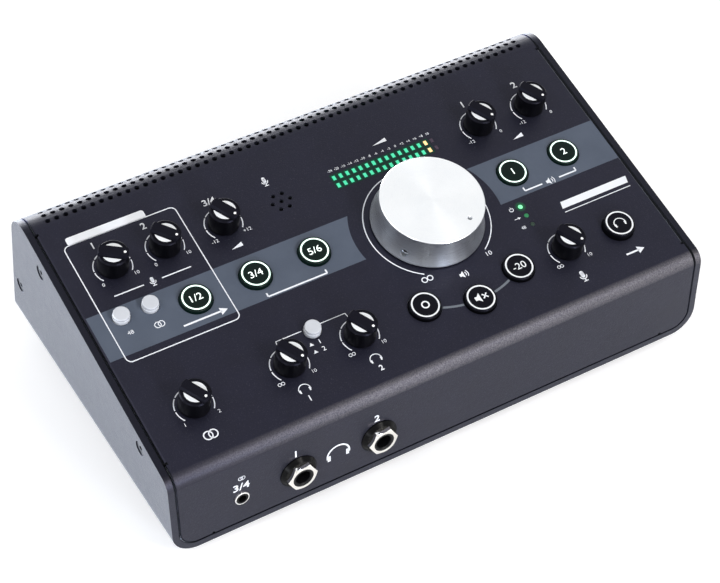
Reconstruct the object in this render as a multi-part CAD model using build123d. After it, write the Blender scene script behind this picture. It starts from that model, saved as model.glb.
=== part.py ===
from build123d import *
from math import cos, degrees, pi, radians, sin, tan
import os

# Studio monitor controller: a sloping steel box with knobs, buttons and sockets.
# Millimetres. +X is the user's right, +Y is away from the user and +Z is up.
# The origin is on the table, under the middle of the whole, front sockets included.

# --- Case -------------------------------------------------------------------
case_width = 250.0
case_depth = 155.8
front_height = 41.7        # base to the panel's front edge, before the bend
panel_slope = 14.0         # degrees that the panel climbs to the back
rear_lean = 13.6           # degrees that the back leans forward
front_bend = 6.0           # outer radius between front and panel
rear_bend = 14.0           # outer radius between panel and back
rear_heel = 4.0            # rounding of the tray's back lower edge
tray_wall = 3.0
tray_bend = 11.0           # outer radius of the tray's two long lower edges
cover_sheet = 1.6
seam = 0.55                # gap between the cover's edge and the tray
edge_round = 1.1           # outer rounding of the cover's side bends
foot_height = 3.0
foot_radius = 7.5
foot_inset_x = 24.0
foot_inset_y = 18.0

# --- Cover details ----------------------------------------------------------
side_flange_depth = 14.0
side_flange_front_gap = 9.1  # from the panel's front corner up to the side flanges
side_flange_rear_gap = 2.9   # from the side flanges up to the rear bend
rear_flange_low = 16.0     # the back's side flanges, measured up the back
rear_flange_high = 56.0
lower_flange_inset = 13.95   # from the cover's side down to its lower flanges
lower_flange_depth = 10.0
relief_width = 1.3         # bend relief notches
relief_depth = 1.4
relief_rise = 0.9          # height of the notches at the lower flanges
vent_radius = 1.2
vent_pitch = 4.0
vent_rows = 3
vent_side_gap = 7.0        # least gap between the cover's side and a vent's axis
vent_lead = 2.1            # from the start of the rear bend to the first row

# --- Screws -----------------------------------------------------------------
screw_shank = 1.45
screw_head = 3.1
screw_head_depth = 1.7
screw_clearance = 0.15
screw_length = 9.0
screw_sink = 0.5           # depth of a countersunk head under the face
hex_recess = 1.0
hex_recess_depth = 1.1
press_nut_radius = 3.0
press_nut_length = 3.0
front_screw_gap = 22.7     # up the panel from its front corner to the first side screw
front_screw_setback = 7.1  # from the panel's face down to that screw
rear_screw_gap = 14.4      # down the panel from the rear bend to the second side screw
rear_screw_setback = 9.0
back_screw_rise = 31.4     # up the back to the third side screw
back_screw_setback = 6.9

# --- Panel controls: x across, v up the panel from the volume knob's axis ------
volume_from_front = 64.4
volume_x = 27.64
back_row = 34.2
front_row = -36.9
source_row = 5.9
monitor_row = 6.2

knob_radius = 6.5
knob_draft = 0.25
knob_lift = 0.6            # air between the panel and a knob
knob_shoulder = 9.7        # height of the ledges that hold the bright inlays
knob_height = 11.4         # height of the grip bar
knob_edge = 0.45
grip_foot = 2.5            # half width of the grip bar at the ledges
grip_top = 1.95            # half width of the grip bar on top
inlay_radius = 4.6
inlay_recess = 0.25
pointer_radius = 4.7       # where the pointer dot sits
pointer_dot = 0.65
dot_recess = 0.15

volume_top_radius = 22.06
volume_base_radius = 24.2
volume_waist_radius = 22.41
volume_waist_height = 8.4
volume_height = 15.2
volume_foot = 0.8          # height of the straight part of the foot
volume_wall = 3.2
volume_hub_radius = 7.5
volume_hub_foot = 2.7
volume_edge = 0.35
dimple_radius = 17.3
dimple_size = 1.2
dimple_lift = 0.5          # centre of the pointer dimple's sphere above the top
set_screw_angle = -147.0
set_screw_height = 4.9
set_screw_radius = 1.5
set_screw_access = 1.75
set_screw_boss = 2.9
set_screw_gap = 0.5        # from the radius of the knob's top in to the screw's end
volume_pointer = -57.0

shaft_radius = 3.0
shaft_fit = 0.05           # radial running clearance and hub fit
shaft_in_knob = 7.4
shaft_in_pot = 6.4
pot_width = 9.8
pot_length = 11.4
pot_height = 6.6
collar_radius = 4.4
collar_clearance = 0.3
volume_pot_width = 17.0
volume_bushing = 3.9
volume_nut_flats = 11.0
volume_nut_height = 1.9

button_hole = 7.15
button_radius = 6.75
button_edge = 0.6
button_ring_outer = 5.96
button_ring_width = 0.75
ring_recess = 0.12
button_skirt = 5.0         # how far a cap reaches under the panel's face
button_lip = 0.5           # how far a cap's lip reaches past its hole
button_lip_height = 0.8
button_travel = 0.9
stem_radius = 1.6
stem_length = 3.4
stem_clearance = 0.3
switch_width = 12.0

cap_hole = 3.85
cap_radius = 3.6
cap_step = 1.55            # height of the lower tier of a push cap
cap_groove = 0.5           # depth and height of the groove above that tier
cap_top_radius = 3.4
cap_edge = 0.4
cap_height = 3.1
cap_travel = 1.8
cap_switch_width = 8.0

meter_x = 2.95
meter_pitch = 3.206
meter_count = 16
meter_green_count = 14
meter_upper = 35.55
meter_lower = 31.5
meter_led_width = 1.3
meter_led_length = 2.1
meter_clearance = 0.1
meter_shoulder = 0.3
status_radius = 1.0
mic_x = -22.9
mic_v = 34.3
mic_hole = 1.0
mic_ring = 4.1
mic_radius = 4.85
mic_height = 6.0
mic_boot_wall = 1.6

# --- Boards -----------------------------------------------------------------
board_thickness = 1.6
board_drop = 10.0          # panel's underside to the control board
board_side_gap = 7.0       # from a board's edge to the cover's side flanges
control_board_front_gap = 8.4
control_board_rear_gap = 5.2
main_board_front_gap = 3.0
main_board_rear_gap = 39.9
spacer_radius = 2.75
spacer_bore = 1.55
board_screw_head = 2.75
board_screw_head_height = 1.6
board_screw_length = 5.0
rear_board_below = 13.0    # from the rear sockets' axes to the board's lower edge
rear_board_above = 23.0
rear_board_side_gap = 4.0

# --- Front and rear sockets -------------------------------------------------
jack_bore = 3.25
jack_bore_length = 30.0
jack_bushing = 4.4
jack_hole_clearance = 0.2
jack_body_width = 13.0
jack_body_length = 26.0
jack_axis_height = 18.05   # above the base
jack_collar = 2.1          # height of the cone-shaped collar under a front nut
jack_collar_radius = 8.1
jack_collar_top = 6.7
jack_collar_foot = 0.4     # height of the collar's straight foot
jack_nut_flats = 11.4
jack_nut_face = 5.7        # radius of the nut's flat face inside its chamfer
jack_nut_height = 2.1
rear_washer = 0.8
rear_washer_radius = 7.2
mini_bore = 1.8
mini_ring = 3.15
mini_ring_height = 0.8
mini_bushing = 2.6
mini_body_width = 8.0
mini_body_length = 13.0
mini_axis_height = 17.3
rear_axis = 27.0           # rear sockets, measured up the back
combo_first_x = -89.5
combo_count = 2
combo_pitch = 29.0
combo_to_jack = 22.0       # from the last combination socket to the first line socket
rear_jack_count = 8
rear_pitch = 15.0
jack_to_data = 15.0
data_to_power = 14.0
combo_radius = 11.8
combo_width = 26.0
combo_height = 30.0
combo_pin_radius = 1.7     # holes for the microphone plug's three pins
combo_pin_ring = 7.4
combo_pin_depth = 12.0
combo_screw_x = 10.3
combo_screw_y = 12.2
combo_screw_length = 8.0
data_width = 11.6
data_height = 10.6
data_length = 17.0
data_wall = 1.2
data_tongue_width = 6.0
data_tongue = 3.0
power_radius = 5.0
power_bore = 3.1
power_pin = 1.0
power_length = 13.0

ribbon_thickness = 1.0
ribbon_width = 32.0
ribbon_lead = 5.0          # straight stretch out of a header
ribbon_bend = 2.5
header_width = 38.0
header_depth = 6.0
header_height = 5.0
header_edge_gap = 2.0      # from the rear cable's header to the main board's edge
header_pitch = 11.0        # between the two headers on the main board
control_header_gap = 15.1  # from the control board's far edge to its cable's header
rear_header_rise = 13.0    # above the rear sockets' axes

# --- Where each control sits ------------------------------------------------
left = -case_width / 2
right = case_width / 2
# x, v and the angle of the pointer, anticlockwise from +x
small_knobs = {
    "gain_1": (left + 25.1, back_row, -33.0),
    "gain_2": (left + 48.3, back_row, -50.0),
    "trim_34": (left + 75.0, back_row, -60.0),
    "trim_a": (right - 51.3, back_row, -60.0),
    "trim_b": (right - 25.3, back_row, -60.0),
    "talkback": (volume_x + 46.26, front_row, -60.0),
    "phones_1": (left + 67.4, front_row, -60.0),
    "phones_2": (left + 99.3, front_row, -60.0),
    "direct": (left + 25.4, front_row, -60.0),
}
# x, v and how far the cap stands above the panel
round_buttons = {
    "source_12": (left + 48.0, source_row, 1.7),
    "source_34": (left + 74.9, source_row, 1.9),
    "source_return": (left + 102.0, source_row, 1.9),
    "monitor_a": (right - 51.1, monitor_row, 1.2),
    "monitor_b": (right - 25.1, monitor_row, 1.2),
    "cue": (right - 24.9, front_row, 3.2),
    "mono": (volume_x - 22.74, -36.6, 1.9),
    "mute": (volume_x - 0.14, -43.2, 1.9),
    "dim": (volume_x + 22.46, -36.7, 1.9),
}
# x and v
push_caps = {
    "phantom": (left + 17.5, 10.9),
    "pan": (left + 30.2, 10.9),
    "phones_source": (left + 83.15, -26.8),
}
status_lights_x = volume_x + 39.96
status_lights = [(status_lights_x, -10.4), (status_lights_x, -15.3), (status_lights_x, -20.2)]
front_jacks_x = (left + 55.77, left + 92.51)
mini_x = left + 30.45
control_spacers = [(left + 37, -14), (left + 89, 20), (-4, -22), (volume_x + 32.36, 20), (right - 19, 20),
                   (volume_x + 30.36, -26)]
board_back = case_depth - main_board_rear_gap        # main board's far edge, from the case's front
# x and distance from the front of each spacer under the main board
main_spacers = [(left + 25, board_back - 7.9), (-30, board_back - 7.9), (right - 25, board_back - 7.9),
                (left + 75, 42), (12, 28), (right - 25, 28)]
# x, distance from the front, radius and height of each capacitor on the main board
capacitors = [(40, board_back - 27.9, 6.3, 16.0), (56, board_back - 27.9, 6.3, 16.0),
              (40, board_back - 43.9, 5.0, 12.0), (56, board_back - 43.9, 5.0, 12.0),
              (-20, board_back - 29.9, 5.0, 12.0)]
# x, distance from the front, width, length and height of each chip or block on the main board
chips = [(-75, board_back - 37.9, 14.0, 14.0, 1.4), (-45, board_back - 43.9, 10.0, 14.0, 1.6),
         (0, board_back - 51.9, 12.0, 12.0, 1.4), (85, board_back - 37.9, 16.0, 18.0, 9.0)]

# --- Derived frames ---------------------------------------------------------
slope = radians(panel_slope)
lean = radians(rear_lean)
nose = jack_collar + jack_nut_height                 # the front sockets stand out this far
heel = (tray_wall + seam) * tan(lean)                # the cover's back edge lies this far in
front_y = (nose + heel - case_depth) / 2
rear_y = front_y + case_depth
panel_y = front_y + volume_from_front * cos(slope)
panel_z = foot_height + front_height + volume_from_front * sin(slope)
panel = Plane(origin=(0, panel_y, panel_z), x_dir=(1, 0, 0), z_dir=(0, -sin(slope), cos(slope))).location
front = Plane(origin=(0, front_y, foot_height), x_dir=(1, 0, 0), z_dir=(0, -1, 0)).location
rear = Plane(origin=(0, rear_y, foot_height), x_dir=(-1, 0, 0), z_dir=(0, cos(lean), sin(lean))).location
floor_z = foot_height + tray_wall
cover_half = case_width / 2 - tray_wall - seam
lower_flange_half = cover_half - lower_flange_inset
vent_columns = int(2 * (cover_half - vent_side_gap) // vent_pitch) + 1
cover_base = floor_z + seam
sky = 2 * (front_height + case_depth * tan(slope))   # safely above the case
board_top = -cover_sheet - board_drop                # control board's face, below the panel
main_board_top = foot_height + jack_axis_height - jack_body_width / 2
main_board_back = rear_y - main_board_rear_gap
UP = (Align.CENTER, Align.CENTER, Align.MIN)


def profile_corners(inset, base):
    """Front foot, front top, rear top and rear foot of the case, moved in by inset."""
    near = front_y + inset
    rise = tan(slope)
    fall = tan(lean)
    panel_at_zero = foot_height + front_height - front_y * rise - inset / cos(slope)
    back_at_zero = rear_y + foot_height * fall - inset / cos(lean)
    top_z = (panel_at_zero + back_at_zero * rise) / (1 + rise * fall)
    top_y = back_at_zero - top_z * fall
    return [
        (near, base),
        (near, panel_at_zero + near * rise),
        (top_y, top_z),
        (back_at_zero - base * fall, base),
    ]


def profile_slab(inset, base, half, heel_radius=0.0):
    """The case's side outline, moved in by inset, as a slab from -half to half in x."""
    radii = [0.0, front_bend - inset, rear_bend - inset, heel_radius]
    outline = FilletPolyline(*profile_corners(inset, base), radius=radii, close=True)
    return extrude(Plane.YZ * make_face(outline), amount=half, both=True)


def section_bar(inset):
    """The case's front outline, moved in by inset, open upwards and run the full depth."""
    half = case_width / 2 - inset
    low = foot_height + inset
    radius = tray_bend - inset
    points = [(-half, low), (half, low), (half, sky), (-half, sky)]
    outline = FilletPolyline(*points, radius=[radius, radius, 0.0, 0.0], close=True)
    return extrude(Plane.XZ * make_face(outline), amount=case_depth, both=True)


def disc(radius, low, high):
    """An upright cylinder between two heights."""
    return Pos(0, 0, low) * Cylinder(radius, high - low, align=UP)


def block(width, length, low, high):
    """An upright box between two heights, centred on the axis."""
    return Pos(0, 0, low) * Box(width, length, high - low, align=UP)


def hexagon(flats, low, high):
    """An upright hexagonal bar, given its width across flats."""
    return Pos(0, 0, low) * extrude(RegularPolygon(flats / 2, 6, major_radius=False), amount=high - low)


def save(name, shapes):
    """Write one node, made of one solid or of several separate ones."""
    solids = shapes if isinstance(shapes, list) else [shapes]
    shape = solids[0] if len(solids) == 1 else Compound(children=[Compound([s]) for s in solids])
    export_step(shape, f"parts/{name}.step")


# --- Side screws and their places -------------------------------------------
def side_screw_places():
    """A frame at each side screw: the origin on the cheek's face, +Z pointing out."""
    spots = [
        (panel, front_screw_gap - volume_from_front, front_screw_setback),
        (panel, rear_bend_start() - rear_screw_gap, rear_screw_setback),
        (rear, back_screw_rise, back_screw_setback),
    ]
    places = []
    for frame, along, setback in spots:
        centre = (frame * Pos(0, along, -setback)).position
        for side in (-1, 1):
            point = (side * case_width / 2, centre.Y, centre.Z)
            places.append(Plane(origin=point, x_dir=(0, 1, 0), z_dir=(side, 0, 0)).location)
    return places


def make_screw(length):
    """A countersunk screw whose head lies a little under z = 0 and whose shank points down."""
    head = Pos(0, 0, -screw_head_depth) * Cone(screw_shank, screw_head, screw_head_depth, align=UP)
    shank = disc(screw_shank, -length, -screw_head_depth)
    return Pos(0, 0, -screw_sink) * (head + shank - hexagon(2 * hex_recess, -hex_recess_depth, 1.0))


def make_countersink(depth):
    """The hole for a countersunk screw, through a plate of the given thickness."""
    rim = screw_head + screw_clearance
    shank = screw_shank + screw_clearance
    foot = -screw_head_depth - screw_sink
    cone = Pos(0, 0, foot) * Cone(shank, rim, screw_head_depth, align=UP)
    return cone + disc(shank, -2 * depth, foot) + disc(rim, -screw_sink, 1.0)


# --- Case -------------------------------------------------------------------
def make_base_tray():
    """A thick plate bent into a U, cut to the case's side outline."""
    tray = profile_slab(0, foot_height, case_width, rear_heel) & (section_bar(0) - section_bar(tray_wall))
    cuts = [place * make_countersink(tray_wall) for place in side_screw_places()]
    cuts += [place * make_countersink(tray_wall) for place in floor_screw_places()]
    return tray - cuts


def bend_point(distance):
    """A frame on the outer face, this far up the panel and on round the rear bend."""
    start = rear_bend_start()
    angle = max(0.0, distance - start) / rear_bend
    if angle == 0.0:
        return panel * Pos(0, distance, 0)
    return panel * Pos(0, start, -rear_bend) * Rot(-degrees(angle), 0, 0) * Pos(0, 0, rear_bend)


def rear_bend_start():
    """How far up the panel the rear bend starts, from the volume knob's axis."""
    top_y, top_z = profile_corners(0, foot_height)[2]
    corner = (top_y - panel_y) * cos(slope) + (top_z - panel_z) * sin(slope)
    turn = pi / 2 - slope + lean
    return corner - rear_bend * tan(turn / 2)


def panel_holes():
    """All holes of the sloping panel."""
    reach = 3 * cover_sheet
    holes = []
    for x, v, _ in small_knobs.values():
        holes.append(panel * Pos(x, v) * disc(collar_radius + collar_clearance, -reach, 1))
    holes.append(panel * Pos(volume_x) * disc(volume_bushing + collar_clearance, -reach, 1))
    for x, v, _ in round_buttons.values():
        holes.append(panel * Pos(x, v) * disc(button_hole, -reach, 1))
    for x, v in push_caps.values():
        holes.append(panel * Pos(x, v) * disc(cap_hole, -reach, 1))
    for x, v in status_lights:
        holes.append(panel * Pos(x, v) * disc(status_radius + meter_clearance, -reach, 1))
    for x, v in meter_places(0, meter_count):
        size = 2 * meter_clearance
        window = block(meter_led_width + size, meter_led_length + size, -reach, 1)
        holes.append(panel * Pos(x, v) * window)
    holes.append(panel * Pos(mic_x, mic_v) * disc(mic_hole, -reach, 1))
    for step in range(6):
        place = Pos(mic_x, mic_v) * Rot(0, 0, 60 * step) * Pos(mic_ring, 0)
        holes.append(panel * place * disc(mic_hole, -reach, 1))
    return holes


def vent_holes():
    """Rows of round vents on the rear bend."""
    holes = []
    for row in range(vent_rows):
        frame = bend_point(rear_bend_start() + vent_lead + row * vent_pitch)
        for column in range(vent_columns):
            x = (column - (vent_columns - 1) / 2) * vent_pitch
            holes.append(frame * Pos(x) * disc(vent_radius, -2 * cover_sheet, 1))
    return holes


def socket_holes():
    """Holes for the sockets in the front and the back."""
    reach = 2 * cover_sheet
    holes = []
    bushing = jack_bushing + jack_hole_clearance
    for x in front_jacks_x:
        holes.append(front * Pos(x, jack_axis_height) * disc(bushing, -reach, 1))
    holes.append(front * Pos(mini_x, mini_axis_height) * disc(mini_bushing + jack_hole_clearance, -reach, 1))
    for x in rear_jack_places():
        holes.append(rear * Pos(-x, rear_axis) * disc(bushing, -reach, 1))
    for x in combo_places():
        holes.append(rear * Pos(-x, rear_axis) * disc(combo_radius + jack_hole_clearance, -reach, 1))
        for place in combo_screw_places(x):
            holes.append(place * disc(screw_shank + screw_clearance, -reach, 1))
    clear = 2 * jack_hole_clearance
    window = block(data_width + clear, data_height + clear, -reach, 1)
    holes.append(rear * Pos(-data_place(), rear_axis) * window)
    holes.append(rear * Pos(-power_place(), rear_axis) * disc(power_radius + jack_hole_clearance, -reach, 1))
    return holes


def side_flange_ends():
    """Where the side flanges start and end, measured along the panel."""
    return side_flange_front_gap - volume_from_front, rear_bend_start() - side_flange_rear_gap


def side_flanges():
    """Flanges bent down inside the tray's cheeks, along the panel and the back."""
    x = cover_half - cover_sheet / 2
    root = cover_sheet / 2
    start, end = side_flange_ends()
    length = end - start
    middle = (start + end) / 2
    rear_length = rear_flange_high - rear_flange_low
    rear_middle = (rear_flange_high + rear_flange_low) / 2
    flanges = []
    for side in (-1, 1):
        strip = block(cover_sheet, length, -side_flange_depth, -root)
        flanges.append(panel * Pos(side * x, middle) * strip)
        strip = block(cover_sheet, rear_length, -side_flange_depth, -root)
        flanges.append(rear * Pos(side * x, rear_middle) * strip)
    return flanges


def lower_flanges():
    """Flanges bent in along the lower edges of the front and the back."""
    front_inner = front_y + cover_sheet / 2
    back_inner = profile_corners(cover_sheet / 2, cover_base + cover_sheet)[3][0]
    depth = lower_flange_depth
    middle = cover_base + cover_sheet / 2
    return [
        Pos(0, front_inner + depth / 2, middle) * Box(2 * lower_flange_half, depth, cover_sheet),
        Pos(0, back_inner - depth / 2, middle) * Box(2 * lower_flange_half, depth, cover_sheet),
    ]


def relief_notches():
    """Small notches at the ends of the bends."""
    notches = []
    for side in (-1, 1):
        for v in side_flange_ends():
            notch = block(2 * relief_depth, relief_width, -side_flange_depth - 1, 1)
            notches.append(panel * Pos(side * cover_half, v) * notch)
        slot = Pos(0, 0, cover_base) * Box(relief_width, 4 * lower_flange_depth, 2 * relief_rise)
        notches.append(Pos(side * lower_flange_half, front_y) * slot)
    return notches


def make_top_cover():
    """One bent sheet: front, sloping panel and back, with flanges and holes."""
    skin = profile_slab(0, floor_z, cover_half) - profile_slab(cover_sheet, foot_height - 1, case_width)
    skin = skin & section_bar(tray_wall + seam)
    cover = skin + side_flanges() + lower_flanges() - relief_notches()
    start, end = side_flange_ends()
    long_edges = cover.edges().filter_by(Axis((0, 0, 0), (0, cos(slope), sin(slope))))
    outer = [e for e in long_edges if abs(abs(e.center().X) - cover_half) < 0.01
             and abs((panel.inverse() * Pos(e.center())).position.Z) < 0.01
             and e.length > (end - start) / 2]
    cover = fillet(outer, edge_round)
    for place in side_screw_places():
        cover -= place * disc(screw_shank + screw_clearance, -4 * tray_wall, 0)
    return cover - (panel_holes() + socket_holes() + vent_holes())


def make_feet():
    """Four stick-on rubber feet."""
    x = case_width / 2 - foot_inset_x
    foot = fillet(disc(foot_radius, 0, foot_height).edges().group_by(Axis.Z)[0], foot_height / 4)
    rows = (front_y + foot_inset_y, rear_y - foot_inset_y)
    return [Pos(side * x, y) * foot for side in (-1, 1) for y in rows]


def make_press_nuts():
    """Nuts pressed into the cover's side flanges."""
    face = -(case_width / 2 - cover_half) - cover_sheet
    nut = disc(press_nut_radius, face - press_nut_length, face)
    nut -= disc(spacer_bore, face - 2 * press_nut_length, 0)
    return [place * nut for place in side_screw_places()]


def floor_screw_places():
    """A frame at each floor screw: the origin on the tray's underside, +Z pointing down."""
    return [Pos(x, front_y + back, foot_height) * Rot(180, 0, 0) for x, back in main_spacers]


# --- Knobs and their potentiometers -----------------------------------------
def make_knob():
    """A small knob on its own axis, with the pointer along +x."""
    top_radius = knob_radius - knob_draft
    height = knob_height - knob_lift
    body = Pos(0, 0, knob_lift) * Cone(knob_radius, top_radius, height, align=UP)
    drop = knob_height - knob_shoulder
    ledge = [(grip_foot, 0), (2 * knob_radius, 0), (2 * knob_radius, 2 * drop), (grip_top, drop)]
    ledge_face = Plane.YZ * make_face(Polyline(*ledge, close=True))
    cut = extrude(ledge_face, amount=2 * knob_radius, both=True)
    body -= [Pos(0, 0, knob_shoulder) * cut, Pos(0, 0, knob_shoulder) * Rot(0, 0, 180) * cut]
    rim = [e for e in body.edges().filter_by(GeomType.CIRCLE)
           if abs(e.center().Z - knob_shoulder) < 0.01 or abs(e.center().Z - knob_height) < 0.01]
    body = chamfer(rim, knob_edge)
    pocket = disc(inlay_radius, knob_shoulder - inlay_recess, knob_shoulder + 1)
    keep = block(4 * knob_radius, 2 * (grip_foot + 0.1), 0, 2 * knob_height)
    body -= pocket - keep
    body -= Pos(pointer_radius, 0) * disc(pointer_dot, knob_height - dot_recess, knob_height + 1)
    return body - disc(shaft_radius + shaft_fit, 0, knob_lift + shaft_in_knob + 0.2)


def make_shaft(into_pot, into_knob):
    """A plain shaft from inside the potentiometer to inside the knob."""
    return chamfer(disc(shaft_radius, -into_pot, into_knob).edges().group_by(Axis.Z)[-1], 0.4)


def make_pot():
    """A small potentiometer standing on the control board, with its collar."""
    body = block(pot_width, pot_length, board_top, board_top + pot_height)
    collar = disc(collar_radius, board_top + pot_height, 0)
    return body + collar - disc(shaft_radius + shaft_fit, -shaft_in_pot - 0.2, 1)


def set_screw_axis():
    """A frame on the volume knob's axis with +Z along its set screw."""
    turn = set_screw_angle - volume_pointer
    return Pos(0, 0, set_screw_height) * Rot(0, 0, turn) * Rot(0, 90, 0)


def make_volume_knob():
    """The turned volume knob on its own axis, with its pointer dimple at +x."""
    low = knob_lift
    foot = (volume_base_radius, low + volume_foot)
    waist = (volume_waist_radius, volume_waist_height)
    side = ThreePointArc(foot, waist, (volume_top_radius, volume_height))
    rest = Polyline((volume_top_radius, volume_height), (0, volume_height), (0, low),
                    (volume_base_radius - volume_edge, low), (volume_base_radius, low + volume_edge), foot)
    body = revolve(Plane.XZ * make_face([side, rest]), axis=Axis.Z)
    rim = [e for e in body.edges().filter_by(GeomType.CIRCLE) if abs(e.center().Z - volume_height) < 0.01]
    body = chamfer(rim, volume_edge)
    roof = volume_height - volume_wall
    hollow = disc(volume_top_radius - volume_wall, 0, roof)
    hollow -= disc(volume_hub_radius, volume_hub_foot, volume_height)
    hollow -= set_screw_axis() * disc(set_screw_boss, volume_hub_radius - 0.5, volume_base_radius)
    body -= hollow
    body -= disc(shaft_radius + shaft_fit, 0, roof)
    body -= Pos(dimple_radius, 0, volume_height + dimple_lift) * Sphere(dimple_size)
    end = volume_top_radius - set_screw_gap
    thread = disc(set_screw_radius + shaft_fit, 0, end)
    access = disc(set_screw_access, end, 2 * volume_base_radius)
    return body - set_screw_axis() * (thread + access)


def make_set_screw():
    """The long grub screw that holds the volume knob on its shaft."""
    end = volume_top_radius - set_screw_gap
    screw = disc(set_screw_radius, shaft_radius + shaft_fit, end)
    return set_screw_axis() * (screw - hexagon(1.5, end - 1.6, end + 1))


def make_volume_pot():
    """The large potentiometer with its threaded bushing."""
    low = board_top
    high = -cover_sheet - 0.1
    body = block(volume_pot_width, volume_pot_width, low, high - 1.0)
    body = fillet(body.edges().filter_by(Axis.Z), 2.0)
    body += disc(volume_pot_width / 2 - 1, high - 1.0, high)
    body += disc(volume_bushing, high, volume_nut_height)
    return body - disc(shaft_radius + shaft_fit, -shaft_in_pot - 0.2, 4)


def make_volume_nut():
    """The nut that clamps the large potentiometer to the panel."""
    nut = hexagon(volume_nut_flats, 0, volume_nut_height)
    return nut - disc(volume_bushing + 0.1, -1, 2 * volume_nut_height)


# --- Buttons ----------------------------------------------------------------
def make_button(height):
    """A round cap on its own axis, with a lip under the panel and a stem."""
    cap = disc(button_radius, -button_skirt, height)
    cap = fillet(cap.edges().group_by(Axis.Z)[-1], button_edge)
    lip_top = -cover_sheet - 0.3
    cap += disc(button_hole + button_lip, lip_top - button_lip_height, lip_top)
    cap += disc(stem_radius, -button_skirt - stem_length, -button_skirt)
    ring = disc(button_ring_outer, height - ring_recess, height + 1)
    ring -= disc(button_ring_outer - button_ring_width, height - 1, height + 2)
    return cap - ring


def make_push_cap():
    """A small round push cap in two tiers, with its lip and stem."""
    tier = disc(cap_radius, -button_skirt, cap_step)
    tier = fillet(tier.edges().group_by(Axis.Z)[-1], cap_edge)
    top = disc(cap_top_radius, cap_step + cap_groove, cap_height)
    top = fillet(top.edges().group_by(Axis.Z)[-1], cap_edge)
    cap = tier + top + disc(cap_top_radius - cap_groove, 0, cap_height - cap_edge)
    lip_top = -cover_sheet - 0.3
    cap += disc(cap_hole + button_lip, lip_top - button_lip_height, lip_top)
    return cap + disc(stem_radius, -button_skirt - stem_length, -button_skirt)


def make_switch(width, travel):
    """A switch body on the control board whose bore guides a cap's stem."""
    top = -button_skirt - travel - stem_clearance
    foot = -button_skirt - stem_length - travel - stem_clearance
    body = block(width, width, board_top, top)
    return body - disc(stem_radius + stem_clearance, foot, 0)


# --- Lights and microphone --------------------------------------------------
def meter_places(first, last):
    """Centres of the meter's lights, from one column up to another."""
    rows = (meter_upper, meter_lower)
    return [(meter_x + meter_pitch * n, v) for v in rows for n in range(first, last)]


def make_meter_lights(first, last):
    """The lights of some columns of the meter, flush with the panel."""
    tip = block(meter_led_width, meter_led_length, -cover_sheet - meter_shoulder, 0)
    width = meter_led_width + 2 * meter_shoulder
    length = meter_led_length + 2 * meter_shoulder
    light = tip + block(width, length, board_top, -cover_sheet - meter_shoulder)
    return [panel * Pos(x, v) * light for x, v in meter_places(first, last)]


def make_status_lights():
    """Three round lights whose domes stand a little out of the panel."""
    dome = disc(status_radius, -cover_sheet - meter_shoulder, 0.3)
    dome = fillet(dome.edges().group_by(Axis.Z)[-1], 0.5)
    light = dome + disc(status_radius + meter_shoulder, board_top, -cover_sheet - meter_shoulder)
    return [panel * Pos(x, v) * light for x, v in status_lights]


def make_microphone():
    """The capsule under its seven holes."""
    top = -cover_sheet - 1.0
    return panel * Pos(mic_x, mic_v) * disc(mic_radius, top - mic_height, top)


def make_microphone_boot():
    """The rubber sleeve that holds the capsule between board and panel."""
    top = -cover_sheet - 0.1
    seat = -cover_sheet - 1.0 - mic_height - 0.1
    sleeve = disc(mic_radius + mic_boot_wall, board_top, top)
    sleeve -= disc(mic_radius + 0.1, seat, 1)
    return panel * Pos(mic_x, mic_v) * sleeve


# --- Boards -----------------------------------------------------------------
def control_board_far_edge():
    """How far up the panel the control board reaches."""
    return rear_bend_start() - control_board_rear_gap


def make_control_board():
    """The board behind the panel."""
    near = control_board_front_gap - volume_from_front
    far = control_board_far_edge()
    width = 2 * (cover_half - cover_sheet - board_side_gap)
    board = block(width, far - near, board_top - board_thickness, board_top)
    board = Pos(0, (near + far) / 2) * board
    for x, v in control_spacers:
        board -= Pos(x, v) * disc(screw_shank + screw_clearance, 2 * board_top, 0)
    return panel * board


def make_control_spacers():
    """Spacers fixed under the panel, which the control board is screwed to."""
    spacer = hexagon(2 * spacer_radius, board_top, -cover_sheet)
    spacer -= disc(spacer_bore, board_top - 1, board_top + board_drop / 2 + 1)
    return [panel * Pos(x, v) * spacer for x, v in control_spacers]


def pan_screw(length):
    """A pan-head screw with its head above z = 0 and its shank below."""
    head = fillet(disc(board_screw_head, 0, board_screw_head_height).edges().group_by(Axis.Z)[-1], 0.7)
    return head + disc(screw_shank, -length, 0) - hexagon(2 * hex_recess, 0.6, 4)


def make_control_screws():
    """Screws that hold the control board to its spacers."""
    screw = Rot(180, 0, 0) * pan_screw(board_screw_length)
    return [panel * Pos(x, v, board_top - board_thickness) * screw for x, v in control_spacers]


def make_main_board():
    """The board over the tray's floor, which carries the front sockets."""
    near = front_y + cover_sheet + main_board_front_gap
    length = main_board_back - near
    width = 2 * (cover_half - cover_sheet - board_side_gap)
    board = block(width, length, main_board_top - board_thickness, main_board_top)
    board = Pos(0, near + length / 2) * board
    for x, back in main_spacers:
        board -= Pos(x, front_y + back) * disc(screw_shank + screw_clearance, 0, sky)
    return board


def make_main_spacers():
    """Spacers between the tray's floor and the main board."""
    spacer = hexagon(2 * spacer_radius, floor_z, main_board_top - board_thickness)
    spacer -= disc(spacer_bore, 0, sky)
    return [Pos(x, front_y + back) * spacer for x, back in main_spacers]


def make_main_screws():
    """Short pan-head screws on top of the main board."""
    screw = pan_screw(board_thickness + 1.4)
    return [Pos(x, front_y + back, main_board_top) * screw for x, back in main_spacers]


def make_combo_screws():
    """Screws that hold the combination sockets to the back."""
    screw = pan_screw(combo_screw_length)
    return [place * screw for x in combo_places() for place in combo_screw_places(x)]


def make_floor_screws():
    """Countersunk screws from under the tray into the spacers."""
    screw = make_screw(tray_wall + 1.8)
    return [place * screw for place in floor_screw_places()]


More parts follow.
